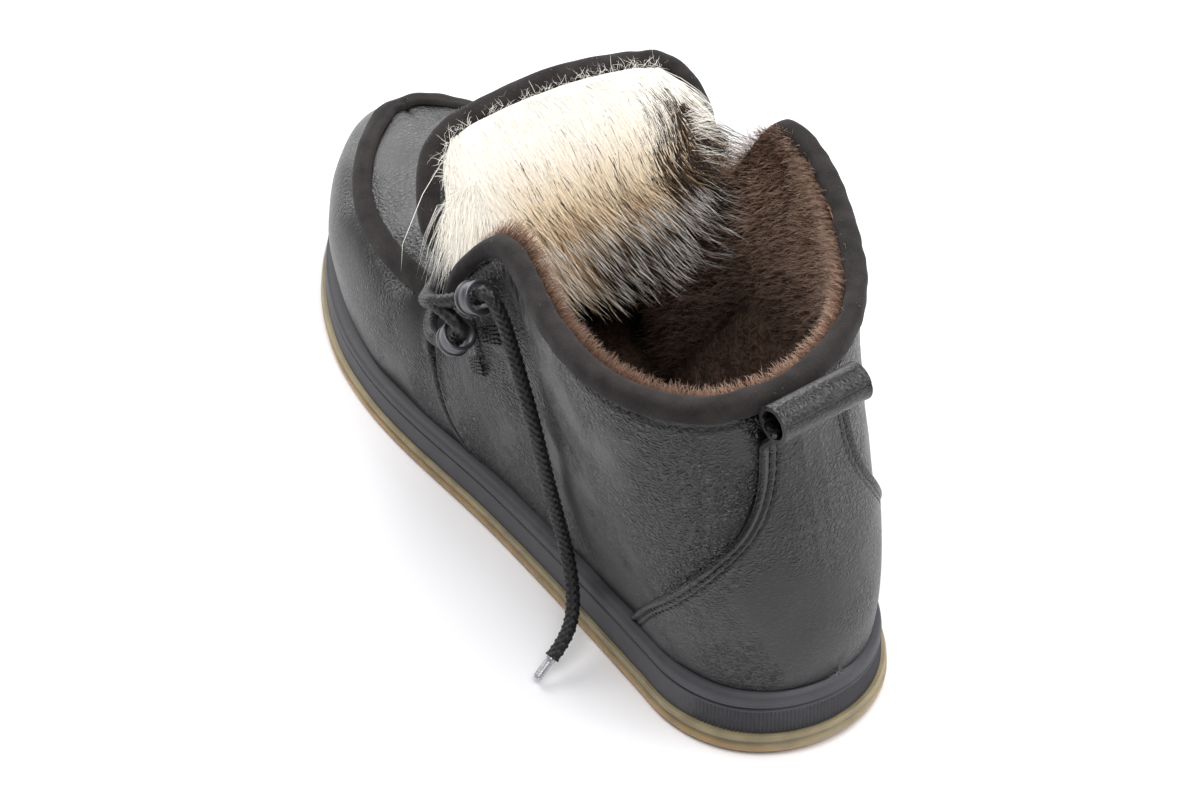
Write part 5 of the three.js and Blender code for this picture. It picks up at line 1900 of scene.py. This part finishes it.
# Where the wool grows, how it crowds to the rim, and how it curls and locks together
WOOL = {
    "to_share": 0.565,
    "from": 0.8,
    "depth": 60,
    "crowd": 1.6,
    "loose": 0.42,
    "curl": 1.25,
    "lock": 3,
    "share_width": 340,
    "gather": 0.15,
}
# Painted shade of the wool hairs: full tone at the rim, fading with depth into the boot, never below the
# least
WOOL_TONE = {"rim": 1.15, "fade": 58, "least": 0.13}
WOOL_WIDTH = (0.15, 0.28)


class BOOT_OT_lining(bpy.types.Operator):
    """Lines the boot with shearling and grows its wool round the collar"""

    bl_idname = "boot.lining"
    bl_label = "Shearling lining"

    def execute(self, context):
        shares = stations((0, 0.35, 40), (0.35, THROAT_SHARE, 30), (THROAT_SHARE, 1, 20))

        def skin(s, v):
            place = on_upper(s, v)
            depth = WALL + LINING_OFF + 0.5 * lumps(place, 7, 29)
            return place - upper_normal(s, v) * depth[:, None]

        sheet = weld(bent_sheet("lining_skin", both_sides(shares), even(0.02, 1, 34), skin), fill=False)
        thicken(sheet, LINING_THICKNESS)
        finish(sheet, material_of(wool_pile))

        rng = np.random.default_rng(SEED + 1)
        for name, side in SIDES.items():
            corners, width, tone, normal = self.wool(rng, side, context.scene.boot_sizes)
            coat = hairs(f"wool_{name}", corners, width, tone, -normal, 0.8)
            finish_hair(coat, material_of(shearling))
        return {"FINISHED"}

    def wool(self, rng, side, sizes):
        """Curled hairs of one side: their arcs, widths, tones and the normals under them."""
        count = sizes.wool_hairs // 2
        share = rng.uniform(0, WOOL["to_share"], count)
        s = side * share
        depth = WOOL["from"] + WOOL["depth"] * rng.uniform(0, 1, count) ** WOOL["crowd"]
        v = below_edge(s, depth)
        normal = upper_normal(s, np.minimum(v, 0.99))
        root = on_upper(s, v) - normal * (WALL + LINING_OFF + 0.3)
        facing = hill(depth, 7) * smooth((share - 0.36) / 0.06)
        lift = 0.35 - 0.6 * smooth(depth / 30) + 0.6 * facing
        lean = unit(rng.normal(0, WOOL["loose"], (count, 3)) - normal + UP * lift[:, None])
        reach = sizes.wool / MM * rng.uniform(0.7, 1.15, count) * (1 + 0.5 * facing)
        column = np.floor(share * WOOL["share_width"] / WOOL["lock"])
        cells = np.stack([column, np.floor(depth / WOOL["lock"])], 1)
        tip = clump(root + lean * reach[:, None], cells, WOOL["gather"])
        curl = rng.normal(0, WOOL["curl"], (2, count, 3))
        first = root + (tip - root) * 0.35 + curl[0]
        second = root + (tip - root) * 0.75 + curl[1]
        # Painted shade: the deeper a hair grows in the boot, the darker it is painted
        depth_shade = np.clip(WOOL_TONE["rim"] - depth / WOOL_TONE["fade"], WOOL_TONE["least"], 1)
        tone = depth_shade * rng.uniform(0.7, 1.15, count)
        width = rng.uniform(*WOOL_WIDTH, count)
        return np.stack([root, first, second, tip], 1), width, tone, normal


# Lace loops and their tabs

ZIGZAG = {"turns": 11, "rise": 0.36, "part": 0.85, "pitch": 2.1}
TAB_RISE = 0.55
TAB_EDGE = 0.6
# Millimetres of the upper for one whole share and one whole height, by the tabs
TAB_SHARE_WIDTH = 330
TAB_RIB_LENGTH = 120
TAB_STITCH = {"half_length": 1.05, "radius": 0.45}


def turned(name, profile, middle, axis, around=40):
    """A closed ring turned from a profile of radius and place along its axis."""
    profile = np.array(profile, float)
    side = unit(np.cross(axis, (0.2, 0.9, 0.3)))
    other = np.cross(axis, side)

    def place(i, angle):
        radius, along = profile[i.astype(int) % len(profile)].T
        spread = np.outer(np.cos(angle) * radius, side) + np.outer(np.sin(angle) * radius, other)
        return middle + spread + np.outer(along, axis)

    return weld(bent_sheet(name, np.arange(len(profile) + 1, dtype=float), full_turn(around), place))


class BOOT_OT_loops(bpy.types.Operator):
    """Turns the four flanged lace loops and sews each on its tab"""

    bl_idname = "boot.loops"
    bl_label = "Lace loops"

    def execute(self, context):
        half = LACE_LOOP["length"] / 2
        outer, bore, waist, rim = (LACE_LOOP[key] for key in ("outer", "bore", "waist", "rim"))
        band = outer - 0.3
        upright = [
            (bore + 0.35, half),
            (outer - 0.4, half),
            (outer - 0.1, half - 0.15),
            (outer, half - 0.4),
            (outer, half - rim + 0.3),
            (outer - 0.15, half - rim + 0.1),
            (waist, half - rim - 0.05),
            (waist, half - rim - 0.35),
            (band - 0.1, half - rim - 0.5),
            (band, half - rim - 0.75),
        ]
        lower = [(radius, -along) for radius, along in upright[::-1]]
        tube_wall = [
            (bore + 0.1, -half + 0.15),
            (bore, -half + 0.5),
            (bore, half - 0.5),
            (bore + 0.1, half - 0.15),
        ]
        found = []
        for side_name, side in SIDES.items():
            for name, place in LACE_LOOPS.items():
                middle, axis, _ = loop_frame(side, place)
                ring = turned(f"loop_{name}_{side_name}", upright + lower + tube_wall, middle, axis)
                finish(ring, material_of(gunmetal_plate), [f"lace_loop_{name}_{side_name}"], 35)
                found.append(self.tab(side_name, side, name, place))
        stitches = pips("tab_stitches", *together(found), **TAB_STITCH)
        finish(stitches, material_of(sewing_thread))
        return {"FINISHED"}

    def tab(self, side_name, side, name, place):
        """One tab, and where its zigzag stitches go."""
        low, high = place["low"], place["high"]

        def leaf(part, v):
            s = np.full_like(part, side * place["tab"]) + side * part * LACE_TAB_HALF
            skin = on_upper(s, v)
            rim = np.minimum((1 - np.abs(part)) * LACE_TAB_HALF * TAB_SHARE_WIDTH, (v - low) * TAB_RIB_LENGTH)
            height = (GAP + TAB_RISE) * (1 - 1.1 * hill(rim, TAB_EDGE)) + crease_relief(skin)
            return skin + upper_normal(s, v) * height[:, None]

        tab = bent_sheet(f"tab_{name}_{side_name}", even(-1, 1, 18) * side, even(low, high, 36), leaf)
        thicken(tab, TAB_RISE)
        finish(tab, material_of(pebbled_leather), [f"lace_tab_{name}_{side_name}"])
        step = np.arange(ZIGZAG["turns"])
        v = low + (high - low) * (0.06 + ZIGZAG["rise"] * step / len(step))
        part = np.where(step % 2, ZIGZAG["part"], -ZIGZAG["part"])
        s = side * (place["tab"] + part * LACE_TAB_HALF)
        normal = upper_normal(s, v)
        skin = on_upper(s, v)
        path = skin + normal * (crease_relief(skin) + GAP + TAB_RISE + 0.1)[:, None]
        return stitch_line(path, normal, ZIGZAG["pitch"])


# Pull loop

# Degrees round the roll where its leather starts, is grooved and is stitched, and the turns it makes
ROLL_SEAM = {"start": -150, "groove": 24, "stitches": 6, "turns": 1.06}
# Half width of the groove in degrees, and its depth
ROLL_GROOVE = {"half": 5, "depth": 0.3}
ROLL_PITCH = 2.2
ROLL_LIP = {"half": 1.2, "height": 0.15}
ROLL_STITCH = {"half_length": 0.9, "radius": 0.32}
# Dark discs that stand for the pinholes, painted shade where the holes are: their half length and radius
PINHOLE_SHADE = {"half_length": 0.2, "radius": 0.6}
PINHOLE_INSET = 3


class BOOT_OT_pull_loop(bpy.types.Operator):
    """Rolls the pull loop from leather, with its seam, stitches and pinholes, the pinholes as dark discs of
    painted shade
    """

    bl_idname = "boot.pull_loop"
    bl_label = "Pull loop"

    def execute(self, context):
        outer = PULL_LOOP["outer"]
        wall = PULL_LOOP["wall"]
        half = PULL_LOOP["length"] / 2

        def roll(along, turn):
            degrees = ROLL_SEAM["start"] - 360 * turn
            from_groove = (degrees - ROLL_SEAM["groove"] + 180) % 360 - 180
            radius = outer - ROLL_GROOVE["depth"] * hill(from_groove, ROLL_GROOVE["half"])
            radius = radius - (wall - 0.25) * smooth((turn - 0.96) / 0.1)
            lip = ROLL_LIP["height"] * hill(np.abs(along) - half, ROLL_LIP["half"])
            return on_pull_loop(along, degrees, radius + lip)

        turns = even(0, ROLL_SEAM["turns"], 64)
        loop = bent_sheet("pull_loop_leather", even(-half, half, 40), turns, roll)
        thicken(loop, wall)
        leather = material_of(pebbled_leather, name="Smooth strap leather", relief=0.2)
        finish(loop, leather, ["pull_loop"])

        along = np.linspace(-half + 1.5, half - 1.5, 60)
        path = on_pull_loop(along, ROLL_SEAM["stitches"], outer + 0.05)
        out = unit(path - on_pull_loop(along, ROLL_SEAM["stitches"], 0))
        line = stitch_line(path, out, ROLL_PITCH)
        stitches = pips("pull_loop_stitches", *line, **ROLL_STITCH)
        finish(stitches, material_of(sewing_thread, name="Worn thread", pale=4.0))

        # The pinholes are dark thread-coloured discs, painted shade in place of holes
        ends = np.array((-half + PINHOLE_INSET, half - PINHOLE_INSET))
        spot = on_pull_loop(ends, ROLL_SEAM["groove"], outer - 0.1)
        out = unit(spot - on_pull_loop(ends, ROLL_SEAM["groove"], 0))
        hole_shades = pips("pull_loop_hole_shades", spot, out, np.tile((1.0, 0, 0), (2, 1)), **PINHOLE_SHADE)
        finish(hole_shades, material_of(sewing_thread))
        return {"FINISHED"}


# Lint and strays

# Fibres on each binding: its form, the stretch along it, the turn round it, count and length
LINT = (
    (collar_roll, (-0.5, 0.5), (-1.5, 0.9), 36, (0.3, 1.0)),
    (apron_roll, (-1.38, -0.62), (0.5, 2.6), 24, (0.3, 1.0)),
    (hem_roll, (0, HEM["steps"] - 1), (0.2, 2.4), 90, (0.3, 2.4)),
)
# Thread ends and specks: share, height and offset on the upper, count and length
STRAYS = (
    (0.014, 0.015, 2.2, 30, 6),
    (-0.601, 0.251, 0.4, 3, 1.2),
    (-0.36, 0.62, 0.3, 5, 1.0),
    (-0.3, 0.8, 0.3, 5, 1.0),
)


class BOOT_OT_lint(bpy.types.Operator):
    """Scatters lint and stray hairs on the bindings, the hem, the side seam and the heel's lower edge"""

    bl_idname = "boot.lint"
    bl_label = "Lint and strays"

    def execute(self, context):
        rng = np.random.default_rng(SEED + 2)
        bound = [self.fibres(rng, *row) for row in LINT]
        specks = [self.tuft(rng, *spot) for spot in STRAYS]
        corners, normal = together(bound + specks)
        count = len(corners)
        width = rng.uniform(*FINE_WIDTH, count)
        piece = hairs("lint", corners, width, rng.uniform(0, 1, count) ** 1.5, normal, 0.6)
        finish_hair(piece, material_of(lint_fibre))
        return {"FINISHED"}

    def fibres(self, rng, form, span, turn, count, reach):
        """Short curled fibres that lie on one binding."""
        at = rng.uniform(*span, count)
        angle = rng.uniform(*turn, count)
        spot = form(at, angle)
        out = unit(spot - (form(at, np.zeros(count)) + form(at, np.full(count, np.pi))) / 2)
        return self.lay(rng, spot + out * 0.1, out, rng.uniform(*reach, count))

    def tuft(self, rng, s, v, off, count, reach):
        """A small tuft of thread ends at one place on the upper."""
        s = np.full(count, s) + rng.normal(0, 0.0012, count)
        v = np.full(count, v) + rng.normal(0, 0.004, count)
        normal = upper_normal(s, v)
        return self.lay(rng, on_upper(s, v) + normal * off, normal, rng.uniform(0.4, 1, count) * reach)

    def lay(self, rng, spot, out, reach):
        """Fibres from their spots, with a loose curl, close to the surface."""
        count = len(spot)
        run = rng.normal(0, 1, (count, 3))
        run = unit(run - out * np.sum(run * out, -1, keepdims=True))
        side = np.cross(out, run)
        size = reach[:, None]
        sway = rng.normal(0, 0.35, (2, count, 1)) * size
        rise = rng.uniform(0.05, 0.3, (2, count, 1)) * size
        first = spot + run * size * 0.33 + side * sway[0] + out * rise[0]
        second = spot + run * size * 0.66 + side * sway[1] + out * rise[1]
        return np.stack([spot, first, second, spot + run * size + out * 0.1], 1), out


# Panel and running order

STEPS = (
    BOOT_OT_stage,
    BOOT_OT_lace,
    BOOT_OT_sole,
    BOOT_OT_upper,
    BOOT_OT_counter,
    BOOT_OT_bindings,
    BOOT_OT_tongue,
    BOOT_OT_fur,
    BOOT_OT_lining,
    BOOT_OT_loops,
    BOOT_OT_pull_loop,
    BOOT_OT_lint,
)


class BOOT_PT_pieces(bpy.types.Panel):
    """Lists the boot's pieces, its sizes and its colours"""

    bl_idname = "BOOT_PT_pieces"
    bl_label = "Boot"
    bl_space_type = "VIEW_3D"
    bl_region_type = "UI"
    bl_category = "Boot"

    def draw(self, context):
        for step in STEPS:
            self.layout.operator(step.bl_idname)
        for group in (context.scene.boot_sizes, context.scene.boot_colours):
            box = self.layout.box()
            for name in group.__annotations__:
                box.prop(group, name)


CLASSES = (BootColours, BootSizes, *STEPS, BOOT_PT_pieces)


def register():
    """Adds the boot's settings, operators and panel."""
    for item in CLASSES:
        bpy.utils.register_class(item)
    bpy.types.Scene.boot_colours = PointerProperty(type=BootColours)
    bpy.types.Scene.boot_sizes = PointerProperty(type=BootSizes)


def unregister():
    """Takes the settings, operators and panel away again."""
    del bpy.types.Scene.boot_colours
    del bpy.types.Scene.boot_sizes
    for item in reversed(CLASSES):
        bpy.utils.unregister_class(item)


def main():
    """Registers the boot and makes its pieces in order."""
    register()
    for step in STEPS:
        getattr(bpy.ops.boot, step.bl_idname.split(".")[1])()


if __name__ == "__main__":
    main()
